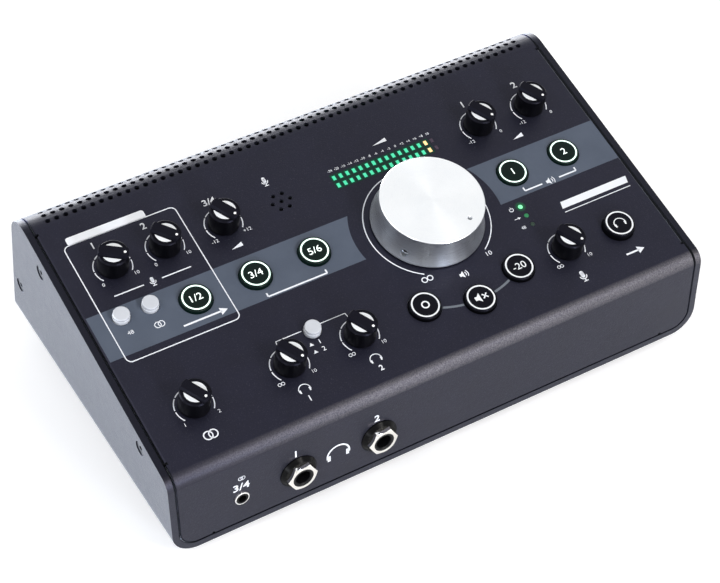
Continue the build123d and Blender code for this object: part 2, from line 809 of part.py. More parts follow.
def rear_board_depth():
    """How far the rear board's near face lies under the back's outer face."""
    return cover_sheet + jack_body_length


def make_rear_board():
    """The board that the rear sockets stand on, parallel to the back."""
    length = rear_board_above + rear_board_below
    middle = rear_axis + (rear_board_above - rear_board_below) / 2
    width = 2 * (cover_half - cover_sheet - rear_board_side_gap)
    depth = rear_board_depth()
    return rear * Pos(0, middle) * block(width, length, -depth - board_thickness, -depth)


def make_parts_on_main_board():
    """Capacitors, chips and a shielded block on the main board."""
    solids = []
    for x, back, radius, height in capacitors:
        can = disc(radius, main_board_top, main_board_top + height)
        can = fillet(can.edges().group_by(Axis.Z)[-1], radius / 10)
        solids.append(Pos(x, front_y + back) * can)
    for x, back, width, length, height in chips:
        body = block(width, length, main_board_top, main_board_top + height)
        solids.append(Pos(x, front_y + back) * body)
    return solids


# --- Sockets ----------------------------------------------------------------
def combo_places():
    """x of the combination sockets in the back."""
    return [combo_first_x + n * combo_pitch for n in range(combo_count)]


def rear_jack_places():
    """x of each 6.35 mm socket in the back."""
    first = combo_places()[-1] + combo_to_jack
    return [first + n * rear_pitch for n in range(rear_jack_count)]


def data_place():
    """x of the data socket."""
    return rear_jack_places()[-1] + jack_to_data


def power_place():
    """x of the power socket."""
    return data_place() + data_to_power


def combo_screw_places(x):
    """A frame at each fixing screw of one combination socket."""
    centre = rear * Pos(-x, rear_axis)
    return [centre * Pos(side * combo_screw_x, side * combo_screw_y) for side in (-1, 1)]


def make_jack(seat):
    """A 6.35 mm socket on its own axis, given the height of the washer or collar on its sheet."""
    inner = -cover_sheet
    mouth = seat + jack_nut_height
    body = block(jack_body_width, jack_body_width, inner - jack_body_length, inner)
    body = fillet(body.edges().filter_by(Axis.Z), 1.0)
    body += disc(jack_bushing, inner, mouth)
    edge = Pos(0, 0, mouth - 0.4) * Cone(jack_bore, jack_bore + 0.6, 0.6, align=UP)
    return body - disc(jack_bore, mouth - jack_bore_length, mouth + 1) - edge


def make_jack_collar():
    """The black cone-shaped collar under a front socket's nut."""
    foot = disc(jack_collar_radius, 0, jack_collar_foot)
    cone = Cone(jack_collar_radius, jack_collar_top, jack_collar - jack_collar_foot, align=UP)
    return foot + Pos(0, 0, jack_collar_foot) * cone - disc(jack_bushing + 0.1, -1, 2 * jack_collar)


def make_jack_washer():
    """The black washer under a rear socket's nut."""
    ring = disc(rear_washer_radius, 0, rear_washer)
    ring = fillet(ring.edges().group_by(Axis.Z)[-1], 0.3)
    return ring - disc(jack_bushing + 0.1, -1, 2)


def make_jack_nut(seat):
    """The bright hexagon nut of a 6.35 mm socket, chamfered on its face."""
    top = seat + jack_nut_height
    nut = hexagon(jack_nut_flats, seat, top)
    wide = jack_nut_face + jack_nut_height * tan(radians(60))
    nut = nut & (Pos(0, 0, seat) * Cone(wide, jack_nut_face, jack_nut_height, align=UP))
    return nut - disc(jack_bushing + 0.1, -1, 2 * top)


def make_mini_jack():
    """The 3.5 mm socket on its own axis."""
    inner = -cover_sheet
    above = mini_body_width / 2
    below = foot_height + mini_axis_height - main_board_top
    body = block(mini_body_width, above + below, inner - mini_body_length, inner)
    body = Pos(0, (above - below) / 2) * body + disc(mini_bushing, inner, mini_ring_height)
    depth = inner - mini_body_length
    return body - disc(mini_bore, depth - 1, 2)


def make_mini_ring():
    """The bright ring nut of the 3.5 mm socket."""
    ring = disc(mini_ring, 0, mini_ring_height)
    ring = fillet(ring.edges().group_by(Axis.Z)[-1], 0.25)
    return ring - disc(mini_bushing + 0.08, -1, 2)


def make_combo():
    """A combination microphone and line socket on its own axis."""
    inner = -cover_sheet
    body = block(combo_width, combo_height, inner - jack_body_length, inner)
    body = fillet(body.edges().filter_by(Axis.Z), 2.0)
    body += disc(combo_radius, inner, 0.4)
    body -= disc(jack_bore, inner - jack_body_length - 1, 2)
    for angle in (90, 210, 330):
        body -= Rot(0, 0, angle) * Pos(combo_pin_ring, 0) * disc(combo_pin_radius, inner - combo_pin_depth, 2)
    for side in (-1, 1):
        corner = Pos(side * combo_screw_x, side * combo_screw_y)
        body -= corner * disc(spacer_bore, -combo_screw_length - 1, 1)
    return body


def make_data_socket():
    """The square data socket with its tongue."""
    inner = -cover_sheet - jack_body_length
    shell = block(data_width, data_height, inner, 0.3)
    shell = chamfer(shell.edges().filter_by(Axis.Z).group_by(Axis.Y)[-1], 1.6)
    wall = 2 * data_wall
    shell -= block(data_width - wall, data_height - wall, -data_length * 0.6, 1)
    return shell + block(data_tongue_width, data_tongue, -data_length * 0.6 - 1, -1.0)


def make_power_socket():
    """The round DC power socket with its centre pin."""
    inner = -cover_sheet - jack_body_length
    body = disc(power_radius, -cover_sheet - 0.1, 0.3)
    body += block(2 * power_radius + 1, 2 * power_radius + 1, inner, -cover_sheet - 0.1)
    body -= disc(power_bore, -power_length, 1)
    return body + disc(power_pin, -power_length - 1, -1.0)


# --- Ribbon cables ----------------------------------------------------------
def header_frames():
    """Frames of the four cable headers, each with +Z out of its board."""
    rear_header_y = main_board_back - header_edge_gap - header_depth / 2
    header_v = control_board_far_edge() - control_header_gap - header_depth / 2
    underside = board_top - board_thickness
    behind = -rear_board_depth() - board_thickness
    return {
        "main_to_control": Pos(0, rear_header_y - header_pitch, main_board_top),
        "control": panel * Pos(0, header_v, underside) * Rot(180, 0, 0),
        "main_to_rear": Pos(0, rear_header_y, main_board_top),
        "rear": rear * Pos(0, rear_axis + rear_header_rise, behind) * Rot(180, 0, 0),
    }


def make_headers():
    """The plastic headers that the ribbon cables plug into."""
    shell = block(header_width, header_depth, 0, header_height)
    shell = fillet(shell.edges().filter_by(Axis.Z), 0.5)
    return [frame * shell for frame in header_frames().values()]


def ribbon(start, end):
    """A flat cable from one header's mouth to another's, bowed between them."""
    first = (start * Pos(0, 0, header_height)).position
    first_out = (start * Pos(0, 0, header_height + ribbon_lead)).position
    last = (end * Pos(0, 0, header_height)).position
    last_out = (end * Pos(0, 0, header_height + ribbon_lead)).position
    path = FilletPolyline(first, first_out, last_out, last, radius=ribbon_bend)
    side = Plane(origin=first, x_dir=(1, 0, 0), z_dir=(first_out - first))
    return sweep(side * Rectangle(ribbon_width, ribbon_thickness), path=path)


def make_ribbons():
    """The two ribbon cables."""
    frames = header_frames()
    return [
        ribbon(frames["main_to_control"], frames["control"]),
        ribbon(frames["main_to_rear"], frames["rear"]),
    ]


# --- Every node -------------------------------------------------------------
def save_case():
    """The case, its fasteners and its feet."""
    save("base_tray", make_base_tray())
    save("top_cover", make_top_cover())
    save("rubber_feet", make_feet())
    save("side_screws", [place * make_screw(screw_length) for place in side_screw_places()])
    save("press_nuts", make_press_nuts())
    save("floor_screws", make_floor_screws())


def save_boards():
    """The boards and what stands on them or joins them."""
    save("control_board", make_control_board())
    save("main_board", make_main_board())
    save("board_spacers", make_control_spacers() + make_main_spacers())
    save("pan_screws", make_control_screws() + make_main_screws() + make_combo_screws())
    save("main_board_components", make_parts_on_main_board())
    save("rear_board", make_rear_board())
    save("ribbon_headers", make_headers())
    save("ribbon_cables", make_ribbons())


def save_knobs():
    """The knobs, their shafts and their potentiometers."""
    knob = make_knob()
    shaft = make_shaft(shaft_in_pot, knob_lift + shaft_in_knob)
    pots = []
    for name, (x, v, angle) in small_knobs.items():
        place = panel * Pos(x, v) * Rot(0, 0, angle)
        save(f"knob_{name}", [place * knob, place * shaft])
        pots.append(panel * Pos(x, v) * make_pot())
    save("potentiometers", pots)
    place = panel * Pos(volume_x) * Rot(0, 0, volume_pointer)
    save("volume_knob", place * make_volume_knob())
    save("volume_set_screw", place * make_set_screw())
    save("volume_shaft", place * make_shaft(shaft_in_pot, volume_height - volume_wall - 0.3))
    save("volume_potentiometer", panel * Pos(volume_x) * make_volume_pot())
    save("volume_nut", panel * Pos(volume_x) * make_volume_nut())


def save_buttons():
    """The caps and their switches."""
    for name, (x, v, height) in round_buttons.items():
        save(f"button_{name}", panel * Pos(x, v) * make_button(height))
    for name, (x, v) in push_caps.items():
        save(f"cap_{name}", panel * Pos(x, v) * make_push_cap())
    switch = make_switch(switch_width, button_travel)
    save("button_switches", [panel * Pos(x, v) * switch for x, v, _ in round_buttons.values()])
    switch = make_switch(cap_switch_width, cap_travel)
    save("latching_switches", [panel * Pos(x, v) * switch for x, v in push_caps.values()])


def save_lights():
    """The meter, the status lights and the microphone."""
    save("meter_lights_green", make_meter_lights(0, meter_green_count))
    save("meter_lights_amber", make_meter_lights(meter_green_count, meter_green_count + 1))
    save("meter_lights_red", make_meter_lights(meter_green_count + 1, meter_count))
    save("status_lights", make_status_lights())
    save("microphone", make_microphone())
    save("microphone_boot", make_microphone_boot())


def save_sockets():
    """The sockets of the front and the back."""
    front_places = [front * Pos(x, jack_axis_height) for x in front_jacks_x]
    back_places = [rear * Pos(-x, rear_axis) for x in rear_jack_places()]
    nuts = [place * make_jack_nut(jack_collar) for place in front_places]
    nuts += [place * make_jack_nut(rear_washer) for place in back_places]
    washers = [place * make_jack_collar() for place in front_places]
    washers += [place * make_jack_washer() for place in back_places]
    save("headphone_sockets", [place * make_jack(jack_collar) for place in front_places])
    save("line_sockets", [place * make_jack(rear_washer) for place in back_places])
    save("socket_nuts", nuts)
    save("socket_washers", washers)
    mini_place = front * Pos(mini_x, mini_axis_height)
    save("mini_socket", mini_place * make_mini_jack())
    save("mini_socket_ring", mini_place * make_mini_ring())
    combo_frames = [rear * Pos(-x, rear_axis) for x in combo_places()]
    save("combination_sockets", [place * make_combo() for place in combo_frames])
    save("data_socket", rear * Pos(-data_place(), rear_axis) * make_data_socket())
    save("power_socket", rear * Pos(-power_place(), rear_axis) * make_power_socket())


os.makedirs("parts", exist_ok=True)
save_case()
save_boards()
save_knobs()
save_buttons()
save_lights()
save_sockets()
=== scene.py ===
"""Finishes, prints, lit parts and studio of the desk-top monitor controller, round its frame."""

import logging
from dataclasses import dataclass, field
from enum import Enum
from functools import cache
from math import atan2, cos, degrees, pi, radians, sin, sqrt, tan
from typing import Any

import bmesh
import bpy
from mathutils import Matrix, Vector


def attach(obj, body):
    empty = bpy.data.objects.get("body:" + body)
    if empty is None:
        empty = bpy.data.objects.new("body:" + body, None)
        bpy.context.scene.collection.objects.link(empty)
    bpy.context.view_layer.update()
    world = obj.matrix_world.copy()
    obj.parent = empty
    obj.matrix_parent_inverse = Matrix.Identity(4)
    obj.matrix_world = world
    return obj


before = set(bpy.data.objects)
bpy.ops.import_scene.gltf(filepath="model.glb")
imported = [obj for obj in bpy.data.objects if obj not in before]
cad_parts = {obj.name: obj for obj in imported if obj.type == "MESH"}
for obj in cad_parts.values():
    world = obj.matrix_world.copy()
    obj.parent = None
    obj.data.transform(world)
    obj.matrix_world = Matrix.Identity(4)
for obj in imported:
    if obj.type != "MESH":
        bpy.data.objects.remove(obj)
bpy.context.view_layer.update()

log = logging.getLogger("monitor_controller")

Point = tuple[float, float]
Triple = tuple[float, float, float]
Socket = bpy.types.NodeSocket
Shape = bmesh.types.BMesh

MM = 0.001
ROOT = "chassis"


# --- Where things are: faces of the case, in millimetres ---------------------

@dataclass(frozen=True)
class Face:
    """A flat face of the case, with its own x, y and height in millimetres."""

    origin: Vector
    across: Vector
    up: Vector

    @property
    def out(self) -> Vector:
        """The direction that leads away from the face."""
        return self.across.cross(self.up)

    def place(self, x: float = 0.0, y: float = 0.0, height: float = 0.0,
              turn: float = 0.0) -> Matrix:
        """Gives the matrix that puts a shape drawn in millimetres on the face.

        Args:
            x: Distance across the face.
            y: Distance up the face.
            height: Distance out of the face.
            turn: Anticlockwise turn about the face's normal, in degrees.

        Returns:
            A matrix from local millimetres to the frame's metres.
        """
        basis = Matrix((self.across, self.up, self.out)).transposed().to_4x4()
        local = Matrix.Translation((x, y, height)) @ Matrix.Rotation(radians(turn), 4, "Z")
        return Matrix.Scale(MM, 4) @ Matrix.Translation(self.origin) @ basis @ local


SLOPE = radians(14.0)
LEAN = radians(13.6)
FOOT = 3.0
FRONT_Y = -75.371
REAR_Y = 80.429
PANEL_CENTRE = Vector((0.0, -12.884, 60.280))
SIDEWAYS = Vector((1, 0, 0))
UPRIGHT = Vector((0, 0, 1))

PANEL = Face(PANEL_CENTRE, SIDEWAYS, Vector((0, cos(SLOPE), sin(SLOPE))))
FRONT = Face(Vector((0, FRONT_Y, FOOT)), SIDEWAYS, UPRIGHT)
BACK = Face(Vector((0, REAR_Y, FOOT)), -SIDEWAYS, Vector((0, -sin(LEAN), cos(LEAN))))

CORNER = Vector((0, FRONT_Y, PANEL_CENTRE.z + (FRONT_Y - PANEL_CENTRE.y) * tan(SLOPE)))
BEND_RADIUS = 6.0

BACK_ROW = 34.2
FRONT_ROW = -36.9
SOURCE_ROW = 5.9
MONITOR_ROW = 6.2
VOLUME_X = 27.64


# --- Finishes ---------------------------------------------------------------

def linear(colour: str) -> tuple[float, float, float, float]:
    """Turns a colour written as six hexadecimal digits into linear values."""
    parts = [int(colour[i:i + 2], 16) / 255 for i in (0, 2, 4)]
    red, green, blue = (p / 12.92 if p <= 0.04045 else ((p + 0.055) / 1.055) ** 2.4
                        for p in parts)
    return red, green, blue, 1.0


class NodeTree:
    """The nodes of a material or of the surroundings, with short calls to add them."""

    def __init__(self, tree: bpy.types.NodeTree) -> None:
        """Takes over a tree."""
        self.tree = tree

    def add(self, kind: str, inputs: dict[Any, Any] | None = None,
            **settings: Any) -> bpy.types.Node:
        """Adds a node.

        Args:
            kind: The node's type name.
            inputs: A value or a socket to link for each input, by name or number.
            settings: Values of the node itself.

        Returns:
            The new node.
        """
        node = self.tree.nodes.new(kind)
        for key, value in settings.items():
            setattr(node, key, value)
        for key, value in (inputs or {}).items():
            self.feed(node.inputs[key], value)
        return node

    def feed(self, socket: Socket, value: Any) -> None:
        """Links a socket, or sets its value, where a text stands for its colour."""
        if isinstance(value, Socket):
            self.tree.links.new(value, socket)
        else:
            socket.default_value = linear(value) if isinstance(value, str) else value

    def math(self, operation: str, *values: Any) -> Socket:
        """Gives the result of a Math node."""
        return self.add("ShaderNodeMath", dict(enumerate(values)), operation=operation).outputs[0]

    def spread(self, value: Any, low: float, high: float, start: float = 0.0,
               end: float = 1.0) -> Socket:
        """Maps a value that runs from start to end onto low to high."""
        return self.add("ShaderNodeMapRange", {
            "Value": value, "From Min": start, "From Max": end, "To Min": low,
            "To Max": high}).outputs[0]

    def seen(self) -> Socket:
        """Gives 1 for rays from the camera, in reflections and through clear pieces."""
        paths = self.add("ShaderNodeLightPath").outputs
        mirrored = self.math("MAXIMUM", paths["Is Glossy Ray"], paths["Is Transmission Ray"])
        return self.math("MAXIMUM", paths["Is Camera Ray"], mirrored)


class ShaderTree(NodeTree):
    """The nodes of one material round its Principled shader."""

    def __init__(self, name: str) -> None:
        """Starts a material."""
        self.material = bpy.data.materials.new(name)
        self.material.use_nodes = True
        super().__init__(self.material.node_tree)
        self.shader = self.tree.nodes["Principled BSDF"]
        self.place = self.add("ShaderNodeTexCoord").outputs["Object"]

    def set(self, **inputs: Any) -> None:
        """Feeds inputs of the Principled shader, named with underscores for spaces."""
        for key, value in inputs.items():
            self.feed(self.shader.inputs[key.replace("_", " ")], value)

    def noise(self, size: float, detail: float = 3.0, roughness: float = 0.55) -> Socket:
        """Gives noise whose features are about size millimetres wide."""
        return self.add("ShaderNodeTexNoise", {
            "Vector": self.place, "Scale": 1 / (size * MM), "Detail": detail,
            "Roughness": roughness}).outputs[0]

    def mottle(self, noise: Socket, low: float, high: float) -> Socket:
        """Maps noise, which mostly keeps between 0.3 and 0.7, onto low to high."""
        return self.spread(noise, low, high, 0.3, 0.7)

    def vector(self, operation: str, *values: Any) -> Socket:
        """Gives the result of a Vector Math node, be it a vector or a number."""
        node = self.add("ShaderNodeVectorMath", dict(enumerate(values)), operation=operation)
        number = operation in ("DOT_PRODUCT", "DISTANCE", "LENGTH")
        return node.outputs["Value" if number else "Vector"]

    def along(self, way: Vector, origin: Vector = Vector()) -> Socket:
        """Gives the distance from a point along a direction, in millimetres."""
        offset = self.vector("SUBTRACT", self.place, origin * MM)
        return self.vector("DOT_PRODUCT", offset, way / MM)

    def height_over(self, face: Face) -> Socket:
        """Gives the height above a face in millimetres."""
        return self.along(face.out, face.origin)

    def mix(self, share: Any, first: Any, second: Any) -> Socket:
        """Mixes two colours."""
        node = self.add("ShaderNodeMix", {0: share, 6: first, 7: second}, data_type="RGBA")
        return node.outputs[2]

    def bump(self, height: Any, depth: float, below: Socket | None = None) -> Socket:
        """Gives the normal of a relief of a depth in millimetres, on top of another one."""
        inputs = {"Height": height, "Distance": depth * MM, "Strength": 1.0}
        if below is not None:
            inputs["Normal"] = below
        return self.add("ShaderNodeBump", inputs).outputs[0]


@dataclass(frozen=True)
class Finish:
    """A finish of mottled colour, uneven gloss and fine grain, with its sizes in millimetres."""

    name: str
    colour: str
    shade: str = ""
    patch: float = 12.0
    roughness: float = 0.5
    unevenness: float = 0.06
    grain: float = 0.6
    relief: float = 0.015
    metallic: float = 0.0
    reflectance: float = 0.5
    mirror_tint: str = "ffffff"
    sheen: float = 0.0
    sheen_roughness: float = 0.4
    sheen_tint: str = "ffffff"
    coat: float = 0.0
    coat_roughness: float = 0.1
    glow: float = 0.0
    glow_colour: str = "ffffff"

    @property
    def gloss_limits(self) -> Point:
        """The least and the greatest roughness."""
        return self.roughness - self.unevenness, self.roughness + self.unevenness

    def build(self) -> bpy.types.Material:
        """Makes the material."""
        tree = ShaderTree(self.name)
        self.fill(tree)
        return tree.material

    def fill(self, tree: ShaderTree) -> None:
        """Feeds the shader."""
        tree.set(Metallic=self.metallic, Specular_IOR_Level=self.reflectance,
                 Sheen_Weight=self.sheen, Sheen_Roughness=self.sheen_roughness,
                 Sheen_Tint=self.sheen_tint, Specular_Tint=self.mirror_tint,
                 Coat_Weight=self.coat, Coat_Roughness=self.coat_roughness)
        tree.set(Base_Color=self.paint(tree), Roughness=self.gloss(tree), Normal=self.surface(tree))
        if self.glow:
            tree.set(Emission_Color=self.light(tree), Emission_Strength=self.glow)

    def paint(self, tree: ShaderTree) -> Socket:
        """Gives the colour over the surface."""
        share = tree.mottle(tree.noise(self.patch, 4.0), 0.0, 1.0)
        return tree.mix(share, self.colour, self.shade or self.colour)

    def gloss(self, tree: ShaderTree) -> Socket:
        """Gives the roughness over the surface."""
        return tree.mottle(tree.noise(self.patch * 0.4), *self.gloss_limits)

    def surface(self, tree: ShaderTree) -> Socket:
        """Gives the normal with the fine grain."""
        return tree.bump(tree.noise(self.grain, 2.0), self.relief)

    def light(self, tree: ShaderTree) -> Any:
        """Gives the colour of the light that the surface sends out."""
        return self.glow_colour


@dataclass(frozen=True)
class PowderCoat(Finish):
    """Fine-textured black powder coat with lighter specks, and a highlight painted along the front
    bend.
    """

    colour: str = "0f0f19"
    shade: str = "12121e"
    roughness: float = 0.4
    relief: float = 0.06
    reflectance: float = 0.3
    mirror_tint: str = "dcdcfc"
    sheen_roughness: float = 0.36
    sheen_tint: str = "e0e8f4"
    speck: str = "3a3a44"
    speck_size: float = 0.4
    speck_share: float = 0.55
    wave: float = 4.0
    # Highlight painted along the front bend: grainy, and fading towards the left end.
    rubbed: str = "6b686a"
    rubbed_grain: float = 0.5
    rubbed_least: float = 0.25
    rubbed_from: float = -118.0
    rubbed_to: float = -30.0
    # Shade painted into the seam between cover and tray: near-black, and metallic so that it
    # reflects nothing.
    seam_colour: str = "020203"
    seam_corner: Point = (114.0, 14.0)
    seam_radius: float = 7.725
    seam_reach: float = 0.62

    def fill(self, tree: ShaderTree) -> None:
        """Feeds the shader, and takes the gloss out of the seam as part of its painted shade."""
        super().fill(tree)
        tree.set(Metallic=self.dark(tree))

    def paint(self, tree: ShaderTree) -> Socket:
        """Adds the specks, a painted highlight on the front bend and painted shade in the seam to
        the mottled black.
        """
        fleck = tree.spread(tree.noise(self.speck_size, 1.0), 0.0, self.speck_share, 0.60, 0.78)
        specked = tree.mix(fleck, super().paint(tree), self.speck)
        grain = tree.spread(tree.noise(self.rubbed_grain, 2.0, 0.7), 0.35, 1.0, 0.35, 0.65)
        highlight_share = tree.math("MULTIPLY", grain, self.crown(tree))
        return tree.mix(self.dark(tree), tree.mix(highlight_share, specked, self.rubbed), self.seam_colour)

    def dark(self, tree: ShaderTree) -> Socket:
        """Gives 1 where shade is painted along the seam, which is a rounded rectangle seen from the
        front.
        """
        side, foot = self.seam_corner
        out = tree.math("SUBTRACT", tree.math("ABSOLUTE", tree.along(SIDEWAYS)), side)
        down = tree.math("SUBTRACT", foot, tree.along(UPRIGHT))
        squares = [tree.math("POWER", tree.math("MAXIMUM", way, 0.0), 2.0) for way in (out, down)]
        gap = tree.math("SUBTRACT", tree.math("SQRT", tree.math("ADD", *squares)), self.seam_radius)
        return tree.spread(tree.math("ABSOLUTE", gap), 1.0, 0.0, self.seam_reach * 0.8,
                           self.seam_reach)

    def crown(self, tree: ShaderTree) -> Socket:
        """Gives 1 along the middle of the front bend, where the highlight is painted, less towards
        the left end, and 0 where it runs out.
        """
        half = (pi / 2 - SLOPE) / 2
        centre = BEND_RADIUS / cos(half)
        reach = tree.along((FRONT.out + PANEL.out).normalized(), CORNER)
        crown = tree.spread(reach, 0.0, 1.0, BEND_RADIUS * cos(half) - centre, BEND_RADIUS - centre)
        highlight_fade = tree.spread(tree.along(SIDEWAYS), self.rubbed_least, 1.0, self.rubbed_from,
                           self.rubbed_to)
        return tree.math("MULTIPLY", crown, highlight_fade)

    def surface(self, tree: ShaderTree) -> Socket:
        """Lays a fine texture over the slow waves of the coat."""
        waves = tree.bump(tree.noise(self.wave, 2.0), self.relief * 0.4)
        return tree.bump(tree.noise(self.grain, 3.0, 0.65), self.relief, waves)


@dataclass(frozen=True)
class TrayCoat(PowderCoat):
    """The coat of the thick tray, with shade painted on the cut edge beside the panel: black there,
    and without gloss.
    """

    edge_share: float = 0.42
    edge_start: float = -0.9
    edge_end: float = -0.3

    def dark(self, tree: ShaderTree) -> Socket:
        """Adds shade painted on the cut edge to the shade painted in the seam."""
        edge = tree.spread(tree.height_over(PANEL), 0.0, self.edge_share, self.edge_start,
                           self.edge_end)
        return tree.math("MAXIMUM", super().dark(tree), edge)


@dataclass(frozen=True)
class TurnedMetal(Finish):
    """Aluminium turned on a lathe: rings about its axis, and gloss drawn out across them."""

    ring: float = 0.09
    dimple: Triple = (17.3, -57.0, 15.2)
    dimple_radius: float = 1.15
    # Painted shade: the dimple grey, and the side greyer than the top of the same aluminium.
    dimple_colour: str = "8d9095"
    side_colour: str = "c6cad0"
    side_top: float = 14.8
    streak: float = 0.7

    def fill(self, tree: ShaderTree) -> None:
        """Feeds the shader, and draws its gloss out across the rings."""
        super().fill(tree)
        normal = tree.add("ShaderNodeNewGeometry").outputs["True Normal"]
        across = tree.vector("CROSS_PRODUCT", normal, self.arm(tree))
        tree.set(Anisotropic=self.streak, Tangent=tree.vector("NORMALIZE", across))

    def arm(self, tree: ShaderTree) -> Socket:
        """Gives a vector along the ring at each point, as long as its radius in metres."""
        offset = tree.vector("SUBTRACT", tree.place, PANEL.place(VOLUME_X).translation)
        return tree.vector("CROSS_PRODUCT", offset, PANEL.out)

    def paint(self, tree: ShaderTree) -> Socket:
        """Paints shade on the side, and in the dimple in the top that tells where the knob points.
        """
        arm, turn, lift = self.dimple
        place = PANEL.place(VOLUME_X + arm * cos(radians(turn)), arm * sin(radians(turn)), lift)
        gap = tree.vector("DISTANCE", tree.place, place.translation)
        size = self.dimple_radius * MM
        top = tree.spread(tree.height_over(PANEL), 0.0, 1.0, self.side_top, self.side_top + 0.2)
        shaded_metal = tree.mix(top, self.side_colour, super().paint(tree))
        dark = tree.spread(gap, 1.0, 0.0, size * 0.7, size)
        return tree.mix(dark, shaded_metal, self.dimple_colour)

    def rings(self, tree: ShaderTree) -> Socket:
        """Gives the height of the rings, which follow the radius and the height."""
        radius = tree.math("DIVIDE", tree.vector("LENGTH", self.arm(tree)), MM)
        track = tree.math("SUBTRACT", radius, tree.height_over(PANEL))
        return tree.add("ShaderNodeTexNoise", noise_dimensions="1D", inputs={
            "W": track, "Scale": 1 / self.ring, "Detail": 2.0}).outputs[0]

    def gloss(self, tree: ShaderTree) -> Socket:
        """Lets the gloss change a little from ring to ring."""
        return tree.mottle(self.rings(tree), *self.gloss_limits)

    def surface(self, tree: ShaderTree) -> Socket:
        """Lays the rings over a fine blasted grain."""
        return tree.bump(self.rings(tree), self.relief * 0.5, super().surface(tree))


@dataclass(frozen=True)
class KnobPlastic(Finish):
    """Black plastic, smooth on a knob's side and fine-textured on its grip."""

    grip: str = "0b0b11"
    grip_start: float = 9.6
    grip_dulling: float = 0.22

    def upper(self, tree: ShaderTree, most: float) -> Socket:
        """Gives 0 on the side and the most on the grip."""
        return tree.spread(tree.height_over(PANEL), 0.0, most, self.grip_start,
                           self.grip_start + 0.3)

    def paint(self, tree: ShaderTree) -> Socket:
        """Gives the grip its charcoal and the side its black."""
        return tree.mix(self.upper(tree, 1.0), super().paint(tree), self.grip)

    def gloss(self, tree: ShaderTree) -> Socket:
        """Gives the grip less gloss than the side."""
        return tree.math("ADD", super().gloss(tree), self.upper(tree, self.grip_dulling))


@dataclass(frozen=True)
class BoardLacquer(Finish):
    """Solder lacquer over copper tracks."""

    track: str = "1f5a3a"
    tracks_per_metre: float = 260.0

    def paint(self, tree: ShaderTree) -> Socket:
        """Shows the tracks as a lighter net under the lacquer."""
        cells = tree.add("ShaderNodeTexVoronoi", {
            "Vector": tree.place, "Scale": self.tracks_per_metre},
            feature="DISTANCE_TO_EDGE", distance="CHEBYCHEV").outputs["Distance"]
        edge = tree.spread(cells, 1.0, 0.0, 0.03, 0.07)
        return tree.mix(edge, super().paint(tree), self.track)


@dataclass(frozen=True)
class RibbonPlastic(Finish):
    """Grey ribbon cable with one grey strand beside the next."""

    pitch: float = 1.27
    depth: float = 0.3
    valley: str = "55565a"

    def strand(self, tree: ShaderTree) -> Socket:
        """Gives the height of the strands, from 0 between two of them to 1."""
        turn = tree.math("MULTIPLY", tree.along(SIDEWAYS), pi / self.pitch)
        return tree.math("ABSOLUTE", tree.math("SINE", turn))

    def surface(self, tree: ShaderTree) -> Socket:
        """Raises each strand."""
        return tree.bump(self.strand(tree), self.depth)

    def paint(self, tree: ShaderTree) -> Socket:
        """Darkens the valleys between the strands with painted shade."""
        return tree.mix(self.strand(tree), self.valley, super().paint(tree))


@dataclass(frozen=True)
class LampPlastic(Finish):
    """Clear lamp plastic whose glow runs in patches between two colours."""

    roughness: float = 0.3
    core: str = "ffffff"

    def light(self, tree: ShaderTree) -> Any:
        """Lets the glow waver over the lens."""
        return tree.mix(tree.noise(1.6, 1.0), self.glow_colour, self.core)


@dataclass(frozen=True)
class StatusPlastic(Finish):
    """Three lamps in one column: the upper one bright, the middle one dim, the lower one off."""

    off: str = "020a06"
    dim: str = "0f6b3c"
    bright: str = "86ffb4"
    dim_from: float = -17.75
    bright_from: float = -12.8

    def light(self, tree: ShaderTree) -> Any:
        """Picks each lamp's light by its place up the panel."""
        climb = tree.along(PANEL.up, PANEL.origin)
        colour: Any = self.off
        for start, lit in ((self.dim_from, self.dim), (self.bright_from, self.bright)):
            above = tree.spread(climb, 0.0, 1.0, start, start + 0.1)
            colour = tree.mix(above, colour, lit)
        return colour


@dataclass(frozen=True)
class EdgeGlow(Finish):
    """A lit surface whose colour runs from its middle to its edge by the edge attribute."""

    edge_colour: str = "000000"

    def share(self, tree: ShaderTree) -> Socket:
        """Gives the edge attribute: 0 in the middle and 1 at the edge."""
        return tree.add("ShaderNodeAttribute", attribute_name="edge").outputs["Fac"]

    def paint(self, tree: ShaderTree) -> Socket:
        """Runs the colour to the edge's own."""
        return tree.mix(self.share(tree), super().paint(tree), self.edge_colour)

    def light(self, tree: ShaderTree) -> Any:
        """Runs the light to the edge's own."""
        return tree.mix(self.share(tree), self.glow_colour, self.edge_colour)


